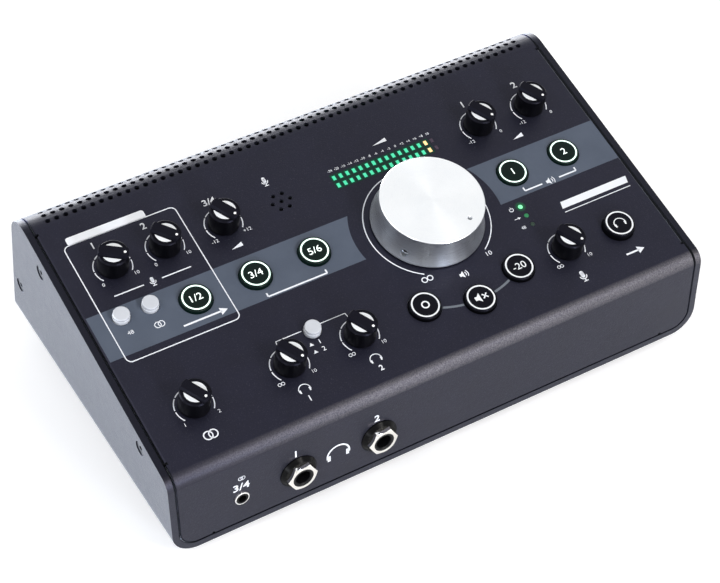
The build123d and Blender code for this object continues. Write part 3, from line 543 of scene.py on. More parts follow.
class Finishes(Enum):
    """Every finish of the object."""

    COAT = PowderCoat("powder_coat", unevenness=0.015, sheen=0.45)
    # The tray's copy of the coat has twice the cover's sheen, which lightens the cheeks as painted
    # sheen.
    TRAY_COAT = TrayCoat("tray_coat", unevenness=0.04, sheen=0.9)
    BAND = Finish("printed_band", "4b5361", "515967", grain=0.7, relief=0.03, reflectance=0.3)
    INK = Finish("white_ink", "f1f3f8", "e6e9ee", roughness=0.55, grain=0.5, relief=0.008)
    PALE_INK = Finish("grey_ink", "6a7078", "646a72", roughness=0.55, grain=0.5, relief=0.008)
    KNOB = KnobPlastic("knob_plastic", "030304", "050507", roughness=0.36, unevenness=0.03,
                       grain=0.5, relief=0.006, reflectance=0.12, mirror_tint="d8d8ff")
    INLAY = Finish("inlay_silver", "f2f4f6", "e4e7ea", roughness=0.32, grain=0.4, relief=0.004,
                   coat=0.4, coat_roughness=0.15)
    # The pointer dot is white paint; its faint glow is painted light.
    DOT = Finish("pointer_white", "ffffff", "f4f5f6", roughness=0.4, glow=0.12)
    ALUMINIUM = TurnedMetal("turned_aluminium", "f8fafc", "f2f5f8", roughness=0.3,
                            unevenness=0.04, grain=0.4, relief=0.008, metallic=1.0)
    BUTTON = Finish("button_black", "030304", "050507", roughness=0.34, unevenness=0.04,
                    grain=0.5, relief=0.005, reflectance=0.14, mirror_tint="d8d8ff")
    BUTTON_LIT = Finish("button_lit", "030c0a", "04100d", roughness=0.34, unevenness=0.04,
                        grain=0.5, relief=0.005, reflectance=0.12, glow=0.25,
                        glow_colour="0a2420")
    RING = Finish("button_ring", "f4f6f7", "e9ecee", roughness=0.4, grain=0.4, relief=0.004)
    RING_LIT = EdgeGlow("button_ring_lit", "f6fffb", "effff8", roughness=0.4, relief=0.003,
                        glow=0.75, glow_colour="f4fff9", edge_colour="b9ecd6")
    CAP = Finish("cap_plastic", "cdd0d6", "c5c8ce", roughness=0.36, grain=0.5, relief=0.006)
    GREEN = LampPlastic("lamp_green", "14694a", glow=1.0, glow_colour="27cf94", core="62f0c0")
    AMBER = LampPlastic("lamp_amber", "e09040", glow=1.2, glow_colour="ffb867", core="fff0c8")
    RED = Finish("lamp_red_off", "3a2a3c", "33263a", roughness=0.3, grain=0.4)
    STATUS = StatusPlastic("lamp_status", "0c2a1c", roughness=0.3, glow=1.3)
    BLACK_METAL = Finish("steel_black", "030304", "060608", roughness=0.2, unevenness=0.03,
                         grain=0.8, relief=0.004, reflectance=0.1)
    SCREW = Finish("screw_black", "141419", "1b1b20", roughness=0.3, unevenness=0.08,
                   relief=0.01, sheen=0.9, sheen_roughness=0.36, sheen_tint="e0e8f4")
    NICKEL = Finish("bright_nickel", "f0eee9", "e2dfd9", roughness=0.13, unevenness=0.04,
                    grain=0.8, relief=0.006, metallic=1.0)
    ZINC = Finish("plain_zinc", "b9bcc0", "a6a9ad", roughness=0.34, unevenness=0.08, grain=0.8,
                  relief=0.01, metallic=1.0)
    BRASS = Finish("brass", "c9a45a", "b08d48", roughness=0.3, grain=0.8, relief=0.01,
                   metallic=1.0)
    RUBBER = Finish("rubber", "0a0a0b", "101011", roughness=0.8, grain=0.8, relief=0.04,
                    reflectance=0.2)
    MOULDED = Finish("socket_plastic", "0b0b0d", "101013", roughness=0.42, grain=0.7,
                     relief=0.02, reflectance=0.15)
    SATIN = Finish("satin_nickel", "fbfaf7", "f2f0ec", roughness=0.3, unevenness=0.04,
                   relief=0.006, metallic=1.0)
    CAPSULE = Finish("microphone_mesh", "0b0b0d", "111114", roughness=0.7, grain=0.5,
                     relief=0.1, reflectance=0.2)
    BOARD = BoardLacquer("circuit_board", "0d3a24", "0f4229", roughness=0.35, grain=0.9,
                         relief=0.02)
    RIBBON = RibbonPlastic("ribbon_grey", "8d8f94", "85878c")
    CAN = Finish("component_case", "1a1b22", "24252d", roughness=0.35, grain=0.9, relief=0.01,
                 coat=0.3)
    POT = Finish("potentiometer_case", "1d3f57", "234a66", roughness=0.4, grain=0.9,
                 relief=0.01)
    # Painted light: the meter surround and the halo are print that glows as if lit by the lamps.
    WINDOW = EdgeGlow("meter_window", "031a13", roughness=0.4, reflectance=0.15, glow=0.6,
                      glow_colour="075a41", edge_colour="0b1a18")
    HALO = EdgeGlow("lamp_halo", "06140e", roughness=0.45, reflectance=0.2, glow=0.8,
                    glow_colour="0f6a3e", edge_colour="14161f")

    @cache
    def material(self) -> bpy.types.Material:
        """The finish's one material."""
        return self.value.build()


# --- Flat artwork -----------------------------------------------------------

INK_SINK = 0.02
INK_THICKNESS = 0.06
TINT_THICKNESS = 0.02
BAND_THICKNESS = 0.03

Row = tuple[str, float, float, float, float, float]


def run_curve(curve: bpy.types.Curve) -> bpy.types.Mesh:
    """Turns a curve or letters into a mesh, and clears them away."""
    holder = bpy.data.objects.new(curve.name, curve)
    bpy.context.scene.collection.objects.link(holder)
    bpy.context.view_layer.update()
    shape = bpy.data.meshes.new_from_object(holder)
    bpy.data.objects.remove(holder)
    bpy.data.curves.remove(curve)
    return shape


@cache
def letter_height() -> float:
    """The height of a capital at a text size of one."""
    ys = [v.co.y for v in letter_mesh("H", 0.0).vertices]
    return max(ys) - min(ys)


def letter_mesh(words: str, weight: float) -> bpy.types.Mesh:
    """Makes flat letters of size one.

    Args:
        words: What they say.
        weight: How far each outline is moved out.

    Returns:
        Their mesh, round its own middle.
    """
    letters = bpy.data.curves.new("letters", "FONT")
    letters.body = words
    letters.offset = weight
    letters.resolution_u = 4
    shape = run_curve(letters)
    xs = [v.co.x for v in shape.vertices]
    ys = [v.co.y for v in shape.vertices]
    middle = Vector(((min(xs) + max(xs)) / 2, (min(ys) + max(ys)) / 2, 0))
    shape.transform(Matrix.Translation(-middle))
    return shape


def turn_outline(centre: Point, radius: float, start: float, end: float,
                 steps: int) -> list[Point]:
    """Gives points along an arc, from one angle to another in degrees."""
    angles = (radians(start + (end - start) * i / steps) for i in range(steps + 1))
    return [(centre[0] + radius * cos(a), centre[1] + radius * sin(a)) for a in angles]


def round_outline(centre: Point, radius: float, count: int) -> list[Point]:
    """Gives a number of points round a circle."""
    return turn_outline(centre, radius, 0, 360 - 360 / count, count - 1)


def round_corners(left: float, right: float, low: float, high: float,
                  radius: float) -> list[tuple[Point, float]]:
    """Gives the centre and the first angle of each corner of a rounded rectangle."""
    left, right, low, high = left + radius, right - radius, low + radius, high - radius
    return [((right, low), 270), ((right, high), 0), ((left, high), 90), ((left, low), 180)]


class Stencil:
    """Flat artwork in millimetres that is printed on a face as one thin piece."""

    def __init__(self) -> None:
        """Starts with a clean sheet."""
        self.mesh = bmesh.new()

    def patch(self, corners: list[Point]) -> None:
        """Fills an outline without holes."""
        self.mesh.faces.new([self.mesh.verts.new((x, y, 0)) for x, y in corners])

    def plate(self, outline: list[Point], holes: list[list[Point]]) -> None:
        """Fills an outline round its holes, as a flat curve does."""
        curve = bpy.data.curves.new("plate", "CURVE")
        curve.dimensions = "2D"
        curve.fill_mode = "BOTH"
        for loop in [outline, *holes]:
            spline = curve.splines.new("POLY")
            spline.points.add(len(loop) - 1)
            for point, (x, y) in zip(spline.points, loop):
                point.co = (x, y, 0, 1)
            spline.use_cyclic_u = True
        self.mesh.from_mesh(run_curve(curve))

    def bar(self, start: Point, end: Point, width: float) -> None:
        """Draws a straight stroke with square ends."""
        a, b = Vector(start), Vector(end)
        side = (b - a).orthogonal().normalized() * width / 2
        self.patch([tuple(p) for p in (a - side, b - side, b + side, a + side)])

    def path(self, points: list[Point], width: float) -> None:
        """Draws straight strokes from point to point."""
        for start, end in zip(points, points[1:]):
            self.bar(start, end, width)

    def arc(self, centre: Point, radius: float, start: float, end: float, width: float) -> None:
        """Draws a stroke along an arc, between two angles in degrees."""
        ends = [self.mesh.verts.new((*turn_outline(centre, r, start, start, 1)[0], 0))
                for r in (radius - width / 2, radius + width / 2)]
        edge = self.mesh.edges.new(ends)
        sweep = end - start
        steps = max(6, round(abs(sweep) / (5 if radius > 3 else 15)))
        bmesh.ops.spin(self.mesh, geom=[*ends, edge], cent=(*centre, 0), axis=UPRIGHT,
                       dvec=(0, 0, 0), angle=radians(sweep), steps=steps,
                       use_merge=abs(sweep) >= 360, use_duplicate=False)

    def ring(self, centre: Point, radius: float, width: float) -> None:
        """Draws a circle."""
        self.arc(centre, radius, 0, 360, width)

    def disc(self, centre: Point, radius: float) -> None:
        """Draws a filled circle."""
        bmesh.ops.create_circle(self.mesh, cap_ends=True, radius=radius, segments=24,
                                matrix=Matrix.Translation((*centre, 0)))

    def words(self, text: str, x: float, y: float, height: float, weight: float = 0.0,
              stretch: float = 1.0) -> None:
        """Sets plain figures.

        Args:
            text: What they say.
            x: Their middle across the face.
            y: Their middle up the face.
            height: The height of a capital.
            weight: Added boldness, as a share of the text's size.
            stretch: How much wider than high they are drawn.
        """
        shape = letter_mesh(text, weight)
        scale = height / letter_height()
        size = Matrix.Diagonal((scale * stretch, scale, 1, 1))
        shape.transform(Matrix.Translation((x, y, 0)) @ size)
        self.mesh.from_mesh(shape)
        bpy.data.meshes.remove(shape)

    def endless(self, centre: Point, height: float) -> None:
        """Draws the sign for silence at the low end of a level control."""
        self.pair(centre, height * 0.48, height * 0.43, height * 0.16)

    def twin_rings(self, centre: Point, height: float) -> None:
        """Draws two crossing rings, the sign for two channels."""
        self.pair(centre, height * 0.3, height / 2, height * 0.14)

    def pair(self, centre: Point, offset: float, radius: float, width: float) -> None:
        """Draws two circles side by side."""
        for side in (-1, 1):
            self.ring((centre[0] + side * offset, centre[1]), radius, width)

    def headphones(self, centre: Point, size: float) -> None:
        """Draws a pair of headphones of a width."""
        x, y = centre
        radius = size / 2
        self.arc((x, y - radius * 0.1), radius, -12, 192, size * 0.075)
        for cup in (x - radius * 0.84, x + radius * 0.84):
            self.bar((cup, y - radius * 0.55), (cup, y + radius * 0.06), size * 0.13)

    def microphone(self, centre: Point, size: float) -> None:
        """Draws a microphone of a height."""
        x, y = centre
        head, line = size * 0.17, size * 0.08
        self.disc((x, y + size * 0.33), head)
        self.bar((x, y + size * 0.33), (x, y + size * 0.02), head * 2)
        self.disc((x, y + size * 0.02), head)
        self.arc((x, y + size * 0.04), size * 0.3, -180, 0, line)
        self.bar((x, y - size * 0.26), (x, y - size * 0.46), line)
        self.bar((x - size * 0.2, y - size * 0.47), (x + size * 0.2, y - size * 0.47), line)

    def speaker(self, centre: Point, size: float, crossed: bool = False) -> None:
        """Draws a loudspeaker of a width, with two waves or with a cross."""
        x, y = centre
        left, cone, mouth = x - size * 0.5, x - size * 0.28, x - size * 0.04
        back, front = size * 0.16, size * 0.4
        self.patch([(left, y - back), (cone, y - back), (mouth, y - front), (mouth, y + front),
                    (cone, y + back), (left, y + back)])
        if crossed:
            for rise in (-size * 0.19, size * 0.19):
                self.bar((x + size * 0.16, y - rise), (x + size * 0.54, y + rise), size * 0.1)
        else:
            for reach in (size * 0.3, size * 0.52):
                self.arc((x - size * 0.1, y), reach, -42, 42, size * 0.085)

    def wedge(self, centre: Point, width: float, height: float) -> None:
        """Draws a rising wedge, the sign for a level."""
        left, low = centre[0] - width / 2, centre[1] - height / 2
        self.patch([(left, low), (left + width, low), (left + width, low + height)])

    def arrow(self, start: Point, end: Point, width: float) -> None:
        """Draws an arrow."""
        tip = Vector(end)
        way = (tip - Vector(start)).normalized()
        head = width * 4
        foot, side = tip - way * head, way.orthogonal() * head * 0.55
        self.bar(start, tuple(tip - way * head * 0.8), width)
        self.patch([tuple(p) for p in (tip, foot + side, foot - side)])

    def printed(self, name: str, face: Face, finish: Finishes,
                thickness: float = INK_THICKNESS) -> None:
        """Gives the artwork its thickness and prints it on a face of the case.

        Args:
            name: The piece's name.
            face: The face that it lies on.
            finish: Its finish.
            thickness: How far it stands above the face.
        """
        thicken(self.mesh, thickness + INK_SINK)
        make_piece(self.mesh, name, face.place(height=-INK_SINK), finish, ROOT)


# --- Thin shapes ------------------------------------------------------------

def thicken(mesh: Shape, thickness: float) -> None:
    """Turns flat faces in the XY plane into closed plates of a thickness, upwards."""
    mesh.normal_update()
    bmesh.ops.reverse_faces(mesh, faces=[f for f in mesh.faces if f.normal.z < 0])
    sheet = mesh.faces[:]
    made = bmesh.ops.extrude_face_region(mesh, geom=sheet, use_keep_orig=True)["geom"]
    lifted = [v for v in made if isinstance(v, bmesh.types.BMVert)]
    bmesh.ops.translate(mesh, verts=lifted, vec=(0, 0, thickness))
    bmesh.ops.reverse_faces(mesh, faces=sheet)


def soften(mesh: Shape, size: float) -> None:
    """Rounds the upper edges of a small plate."""
    top = max(v.co.z for v in mesh.verts)
    upper = [e for e in mesh.edges if all(abs(v.co.z - top) < 1e-6 for v in e.verts)
             and e.calc_face_angle(0.0) > 0.5]
    bmesh.ops.bevel(mesh, geom=upper, offset=size, offset_type="OFFSET", affect="EDGES",
                    segments=2, profile=0.5, material=-1)


def lathe(mesh: Shape, section: list[Triple], steps: int, closed: bool) -> None:
    """Turns a section round the upright axis.

    Args:
        mesh: The mesh that takes up the shape.
        section: The radius, the height and the edge attribute of each point.
        steps: How many faces go round.
        closed: Whether the last point joins the first.
    """
    edge = mesh.verts.layers.float.new("edge")
    verts = []
    for radius, height, rim in section:
        vert = mesh.verts.new((radius, 0, height))
        vert[edge] = rim
        verts.append(vert)
    ahead = verts[1:] + verts[:1] if closed else verts[1:]
    edges = [mesh.edges.new(pair) for pair in zip(verts, ahead)]
    bmesh.ops.spin(mesh, geom=[*verts, *edges], cent=(0, 0, 0), axis=UPRIGHT, dvec=(0, 0, 0),
                   angle=2 * pi, steps=steps, use_merge=True, use_duplicate=False)


def make_piece(mesh: Shape, name: str, place: Matrix, finish: Finishes, body: str,
               smooth: bool = False) -> None:
    """Puts a shape in its place and dresses it.

    Args:
        mesh: The shape in millimetres, which is used up.
        name: The piece's name.
        place: Where it goes, from Face.place.
        finish: Its finish.
        body: The body that it moves with.
        smooth: Whether its faces are shaded as one curved surface.
    """
    bmesh.ops.transform(mesh, matrix=place, verts=mesh.verts)
    for face in mesh.faces:
        face.smooth = smooth
    piece = add_object(mesh, name, finish.material())
    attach(piece, body)
    log.info("piece %s on %s, %d faces", name, body, len(piece.data.polygons))


def add_object(mesh: Shape, name: str,
               material: bpy.types.Material) -> bpy.types.Object:
    """Adds a shape to the scene in its material, and uses it up."""
    data = bpy.data.meshes.new(name)
    mesh.to_mesh(data)
    mesh.free()
    data.materials.append(material)
    made = bpy.data.objects.new(name, data)
    bpy.context.scene.collection.objects.link(made)
    return made


def dress(finish: Finishes, *nodes: str) -> None:
    """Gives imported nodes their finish."""
    for name in nodes:
        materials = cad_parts[name].data.materials
        if materials:
            for index in range(len(materials)):
                materials[index] = finish.material()
        else:
            materials.append(finish.material())
        log.info("node %s in %s", name, finish.value.name)


# --- Sub-assemblies ---------------------------------------------------------

@dataclass
class Case:
    """Steel tray and cover with their feet and screws."""

    def build(self) -> None:
        """Dresses the sheet metal and what fastens it."""
        dress(Finishes.COAT, "top_cover")
        dress(Finishes.TRAY_COAT, "base_tray")
        dress(Finishes.RUBBER, "rubber_feet")
        dress(Finishes.SCREW, "side_screws", "floor_screws")
        dress(Finishes.ZINC, "press_nuts")


@dataclass
class Electronics:
    """Boards, switches, potentiometers and cables inside the case."""

    def build(self) -> None:
        """Dresses what shows through the openings."""
        dress(Finishes.BOARD, "control_board", "main_board", "rear_board")
        dress(Finishes.CAN, "main_board_components")
        dress(Finishes.BRASS, "board_spacers")
        dress(Finishes.ZINC, "pan_screws", "volume_nut", "volume_shaft")
        dress(Finishes.MOULDED, "ribbon_headers", "button_switches", "latching_switches")
        dress(Finishes.RIBBON, "ribbon_cables")
        dress(Finishes.POT, "potentiometers", "volume_potentiometer")


@dataclass
class Spot:
    """A control with its name and its place on the panel."""

    name: str
    x: float
    y: float

    @property
    def centre(self) -> Point:
        """Its axis on the panel."""
        return self.x, self.y


@dataclass
class KnobSpot(Spot):
    """A small knob: where it points, and the figures at the ends of its scale.

    A scale without a figure at its low end has the sign for silence there.
    """

    pointer: float
    low: str
    high: str


@dataclass
class ButtonSpot(Spot):
    """A round button: its height, whether it is lit, and its sign."""

    height: float
    lit: bool
    sign: str

    @property
    def white(self) -> Finishes:
        """The finish of its ring and its sign."""
        return Finishes.RING_LIT if self.lit else Finishes.RING


@dataclass
class Controls:
    """Every control on the panel, with the inlays, rings and signs that move with it."""

    knobs: list[KnobSpot] = field(default_factory=lambda: [
        KnobSpot("gain_1", -99.9, BACK_ROW, -33.0, "0", "10"),
        KnobSpot("gain_2", -76.7, BACK_ROW, -50.0, "0", "10"),
        KnobSpot("trim_34", -50.0, BACK_ROW, -60.0, "-12", "+12"),
        KnobSpot("trim_a", 73.7, BACK_ROW, -60.0, "-12", "0"),
        KnobSpot("trim_b", 99.7, BACK_ROW, -60.0, "-12", "0"),
        KnobSpot("talkback", 73.9, FRONT_ROW, -60.0, "", "10"),
        KnobSpot("phones_1", -57.6, FRONT_ROW, -60.0, "", "10"),
        KnobSpot("phones_2", -25.7, FRONT_ROW, -60.0, "", "10"),
        KnobSpot("direct", -99.6, FRONT_ROW, -60.0, "1", "2"),
    ])
    buttons: list[ButtonSpot] = field(default_factory=lambda: [
        ButtonSpot("source_12", -77.0, SOURCE_ROW, 1.7, True, "1/2"),
        ButtonSpot("source_34", -50.1, SOURCE_ROW, 1.9, True, "3/4"),
        ButtonSpot("source_return", -23.0, SOURCE_ROW, 1.9, True, "5/6"),
        ButtonSpot("monitor_a", 73.9, MONITOR_ROW, 1.2, True, "1"),
        ButtonSpot("monitor_b", 99.9, MONITOR_ROW, 1.2, True, "2"),
        ButtonSpot("cue", 100.1, FRONT_ROW, 3.2, False, "headphones"),
        ButtonSpot("mono", 4.9, -36.6, 1.9, False, "ring"),
        ButtonSpot("mute", 27.5, -43.2, 1.9, False, "crossed speaker"),
        ButtonSpot("dim", 50.1, -36.7, 1.9, False, "-20"),
    ])
    caps: list[Spot] = field(default_factory=lambda: [
        Spot("phantom", -107.5, 10.9),
        Spot("pan", -94.8, 10.9),
        Spot("phones_source", -41.85, -26.8),
    ])
    inlay_foot: float = 9.45
    inlay_radius: float = 4.6
    inlay_chord: float = 2.68
    inlay_depth: float = 0.24
    inlay_edge: float = 0.08
    dot_foot: float = 11.25
    dot_place: float = 4.7
    dot_radius: float = 0.56
    dot_depth: float = 0.14
    dot_edge: float = 0.05
    ring_outer: float = 5.94
    ring_inner: float = 5.23
    ring_depth: float = 0.11
    ring_sink: float = 0.12
    ring_section: tuple[Triple, ...] = (
        (0.0, 0.0, 1.0), (0.0, 0.75, 1.0), (0.12, 0.92, 0.6), (0.3, 1.0, 0.0),
        (0.7, 1.0, 0.0), (0.88, 0.92, 0.6), (1.0, 0.75, 1.0), (1.0, 0.0, 1.0))
    sign_height: float = 3.1
    sign_stretch: float = 1.08
    speaker_width: float = 5.6
    headphones_width: float = 5.4
    mono_radius: float = 1.5
    mono_line: float = 0.62
    sign_lift: float = 0.05
    sign_sink: float = 0.01

    def build(self) -> None:
        """Dresses the controls and adds what is let into them or printed on them."""
        dress(Finishes.ALUMINIUM, "volume_knob")
        dress(Finishes.SCREW, "volume_set_screw")
        for knob in self.knobs:
            dress(Finishes.KNOB, f"knob_{knob.name}")
            self.add_inlays(knob)
            self.add_dot(knob)
        for button in self.buttons:
            dress(Finishes.BUTTON_LIT if button.lit else Finishes.BUTTON, f"button_{button.name}")
            self.add_ring(button)
            self.add_sign(button)
        for cap in self.caps:
            dress(Finishes.CAP, f"cap_{cap.name}")

    def add_inlays(self, knob: KnobSpot) -> None:
        """Lets two silver segments into a knob."""
        mesh = bmesh.new()
        for side in (-1, 1):
            made = bmesh.ops.create_circle(mesh, cap_ends=True, radius=self.inlay_radius,
                                           segments=64)["verts"]
            geom = [*made, *{e for v in made for e in v.link_edges},
                    *{f for v in made for f in v.link_faces}]
            bmesh.ops.bisect_plane(mesh, geom=geom, plane_co=(0, side * self.inlay_chord, 0),
                                   plane_no=(0, side, 0), clear_inner=True)
        thicken(mesh, self.inlay_depth)
        soften(mesh, self.inlay_edge)
        make_piece(mesh, f"inlay_{knob.name}",
                   PANEL.place(knob.x, knob.y, self.inlay_foot, knob.pointer),
                   Finishes.INLAY, f"knob_{knob.name}")

    def add_dot(self, knob: KnobSpot) -> None:
        """Lets the white pointer dot into a knob's grip."""
        mesh = bmesh.new()
        bmesh.ops.create_circle(mesh, cap_ends=True, radius=self.dot_radius, segments=28)
        thicken(mesh, self.dot_depth)
        soften(mesh, self.dot_edge)
        bmesh.ops.translate(mesh, verts=mesh.verts, vec=(self.dot_place, 0, 0))
        make_piece(mesh, f"pointer_{knob.name}",
                   PANEL.place(knob.x, knob.y, self.dot_foot, knob.pointer),
                   Finishes.DOT, f"knob_{knob.name}")

    def add_ring(self, button: ButtonSpot) -> None:
        """Lets the bright ring into a button's cap."""
        mesh = bmesh.new()
        width = self.ring_outer - self.ring_inner
        section = [(self.ring_inner + share * width, rise * self.ring_depth, rim)
                   for share, rise, rim in self.ring_section]
        lathe(mesh, section, 72, closed=True)
        bmesh.ops.remove_doubles(mesh, verts=mesh.verts, dist=1e-5)
        bmesh.ops.recalc_face_normals(mesh, faces=mesh.faces)
        make_piece(mesh, f"ring_{button.name}",
                   PANEL.place(button.x, button.y, button.height - self.ring_sink),
                   button.white, f"button_{button.name}", smooth=True)

    def add_sign(self, button: ButtonSpot) -> None:
        """Prints a button's sign on its cap."""
        art = Stencil()
        if button.sign == "crossed speaker":
            art.speaker((0, 0), self.speaker_width, crossed=True)
        elif button.sign == "ring":
            art.ring((0, 0), self.mono_radius, self.mono_line)
        elif button.sign == "headphones":
            art.headphones((0, -0.2), self.headphones_width)
        else:
            art.words(button.sign, 0, 0, self.sign_height, stretch=self.sign_stretch)
        thicken(art.mesh, self.sign_lift + self.sign_sink)
        make_piece(art.mesh, f"sign_{button.name}",
                   PANEL.place(button.x, button.y, button.height - self.sign_sink),
                   button.white, f"button_{button.name}")


@dataclass
class Band:
    """The grey-blue stripe printed across the panel, cut out round the controls."""

    low: float = -6.1
    high: float = 16.1
    left: float = -120.4
    right: float = 121.0
    clear_radius: float = 33.4
    button_hole: float = 7.15
    cap_hole: float = 3.85

    def build(self, controls: Controls) -> None:
        """Prints the two stretches of the stripe."""
        holes = [round_outline(b.centre, self.button_hole, 48) for b in controls.buttons]
        holes += [round_outline(c.centre, self.cap_hole, 36) for c in controls.caps]
        for side, outer, name in ((-1, self.left, "band_left"), (1, self.right, "band_right")):
            start, end = (degrees(atan2(v, side * sqrt(self.clear_radius ** 2 - v ** 2)))
                          for v in (self.low, self.high))
            if side < 0:
                start %= 360
            curve = turn_outline((VOLUME_X, 0), self.clear_radius, start, end, 16)
            inside = [h for h in holes if self.low < h[0][1] < self.high
                      and (h[0][0] - VOLUME_X) * side > 0]
            art = Stencil()
            art.plate([(outer, self.low), *curve, (outer, self.high)], inside)
            art.printed(name, PANEL, Finishes.BAND, thickness=BAND_THICKNESS)


@dataclass
class PanelPrint:
    """White artwork on the sloping panel: scales, frame, guide lines, figures and signs."""

    scale_radius: float = 7.95
    scale_line: float = 0.45
    scale_stops: tuple[float, ...] = (220.0, 178.0, 134.0, 90.0, 46.0, 2.0, -40.0)
    scale_gap: float = 2.5
    scale_figure: float = 1.5
    scale_stretch: float = 1.1
    scale_low: Point = (-7.2, -6.6)
    scale_high: Point = (7.6, -6.6)
    endless_height: float = 1.55
    volume_radius: float = 27.03
    frame_box: tuple[float, float, float, float] = (-114.2, -64.6, -9.4, 50.5)
    frame_corner: float = 2.4
    tab_box: tuple[float, float, float, float] = (-111.8, -77.0, 50.3, 54.3)
    tab_corner: float = 1.2
    guide_line: float = 0.36
    join_radius: float = 43.1
    joins: tuple[Point, ...] = ((247.9, 260.1), (279.8, 291.6))
    figures: tuple[Row, ...] = (
        ("1", -103.0, 46.5, 3.0, 0.02, 1.0), ("2", -80.3, 46.8, 3.0, 0.02, 1.0),
        ("3/4", -50.4, 46.6, 2.9, 0.02, 1.1), ("1", 73.3, 46.9, 3.0, 0.02, 1.1),
        ("2", 99.9, 47.0, 3.0, 0.02, 1.1), ("48", -107.2, 3.0, 1.7, 0.0, 1.1),
        ("1", -57.6, -53.7, 2.4, 0.02, 1.0), ("2", -25.3, -53.7, 2.4, 0.02, 1.0),
        ("1", -41.6, -32.5, 2.0, 0.006, 1.0), ("2", -41.6, -36.1, 2.0, 0.006, 1.0),
        ("48", 63.1, -20.2, 1.5, 0.0, 1.0))
    brackets: tuple[tuple[Point, ...], ...] = (
        ((-50.1, -3.4), (-50.1, -5.2), (-23.0, -5.2), (-23.0, -3.4)),
        ((73.9, -2.4), (73.9, -4.2), (82.6, -4.2)),
        ((91.2, -4.2), (99.9, -4.2), (99.9, -2.4)))
    bracket_line: float = 0.7

    def build(self, controls: Controls) -> None:
        """Prints all of the artwork."""
        self.print_scales(controls)
        self.print_frame()
        self.print_guides()
        self.print_signs()
        self.print_plate()

    def print_scales(self, controls: Controls) -> None:
        """Prints a broken arc with its end figures round each knob."""
        art = Stencil()
        for knob in controls.knobs:
            for first, second in zip(self.scale_stops, self.scale_stops[1:]):
                art.arc(knob.centre, self.scale_radius, first - self.scale_gap,
                        second + self.scale_gap, self.scale_line)
            for text, (x, y) in ((knob.low, self.scale_low), (knob.high, self.scale_high)):
                if text:
                    art.words(text, knob.x + x, knob.y + y, self.scale_figure,
                              stretch=self.scale_stretch)
                else:
                    art.endless((knob.x + x, knob.y + y), self.endless_height)
        art.arc((VOLUME_X, 0), self.volume_radius, 237, -57, self.scale_line)
        art.endless((12.9, -25.2), 2.7)
        art.words("10", 42.9, -25.0, 2.0, stretch=1.12)
        art.printed("print_scales", PANEL, Finishes.INK)

    def print_frame(self) -> None:
        """Prints the rounded frame round the two gain channels, with its blank tab."""
        art = Stencil()
        radius, line = self.frame_corner, self.scale_line
        corners = round_corners(*self.frame_box, radius)
        ends = [turn_outline(centre, radius, start, start + 90, 1) for centre, start in corners]
        for (centre, start), this, ahead in zip(corners, ends, ends[1:] + ends[:1]):
            art.arc(centre, radius, start, start + 90, line)
            art.bar(this[1], ahead[0], line)
        outline = []
        for centre, start in round_corners(*self.tab_box, self.tab_corner):
            outline += turn_outline(centre, self.tab_corner, start, start + 90, 6)
        art.patch(outline)
        art.printed("print_frame", PANEL, Finishes.INK)

    def print_guides(self) -> None:
        """Prints the lines that join controls which belong together."""
        art = Stencil()
        art.path([(-57.9, -27.6), (-57.6, -25.3), (-45.9, -25.3)], self.guide_line)
        art.path([(-37.8, -25.3), (-26.0, -25.3), (-25.7, -27.6)], self.guide_line)
        art.printed("print_guides", PANEL, Finishes.INK)
        joins = Stencil()
        for start, end in self.joins:
            joins.arc((VOLUME_X, 0), self.join_radius, start, end, 1.0)
        joins.printed("print_joins", PANEL, Finishes.PALE_INK)

    def print_signs(self) -> None:
        """Prints figures and plain signs beside the controls."""
        art = Stencil()
        for row in self.figures:
            art.words(*row)
        for line in self.brackets:
            art.path(line, self.bracket_line)
        for centre, size in (((-24.6, 46.0), 4.6), ((-88.6, 20.9), 4.2), ((72.9, -51.6), 5.2)):
            art.microphone(centre, size)
        for start, end in ((-105.6, -92.6), (-84.6, -71.6)):
            art.bar((start, 20.9), (end, 20.9), 0.5)
        for x in (-50.2, 86.4):
            art.wedge((x, 22.2), 5.2, 2.0)
        for x in (-57.6, -25.3):
            art.headphones((x, -49.3), 5.0)
        art.twin_rings((-95.2, 1.6), 2.6)
        art.twin_rings((-99.8, -51.4), 3.6)
        art.speaker((86.9, -4.2), 4.4)
        art.speaker((28.0, -29.6), 4.2)
        art.arrow((-87.0, -3.3), (-67.5, -3.3), 0.8)
        art.arrow((95.6, -50.4), (104.6, -50.4), 0.8)
        art.arrow((61.7, -15.3), (64.7, -15.3), 0.3)
        for low in (-33.2, -36.8):
            art.patch([(-46.4, low), (-44.4, low), (-45.4, low + 1.5)])
        art.arc((63.1, -10.3), 0.9, 125, 415, 0.3)
        art.bar((63.1, -10.2), (63.1, -9.0), 0.3)
        art.printed("print_signs", PANEL, Finishes.INK)

    def print_plate(self) -> None:
        """Prints the plain bar beside the status lamps, with a line under it."""
        art = Stencil()
        art.patch([(83.6, -19.0), (117.2, -19.0), (118.1, -15.6), (84.5, -15.6)])
        art.bar((83.6, -20.9), (117.2, -20.9), self.guide_line)
        art.printed("print_plate", PANEL, Finishes.INK)


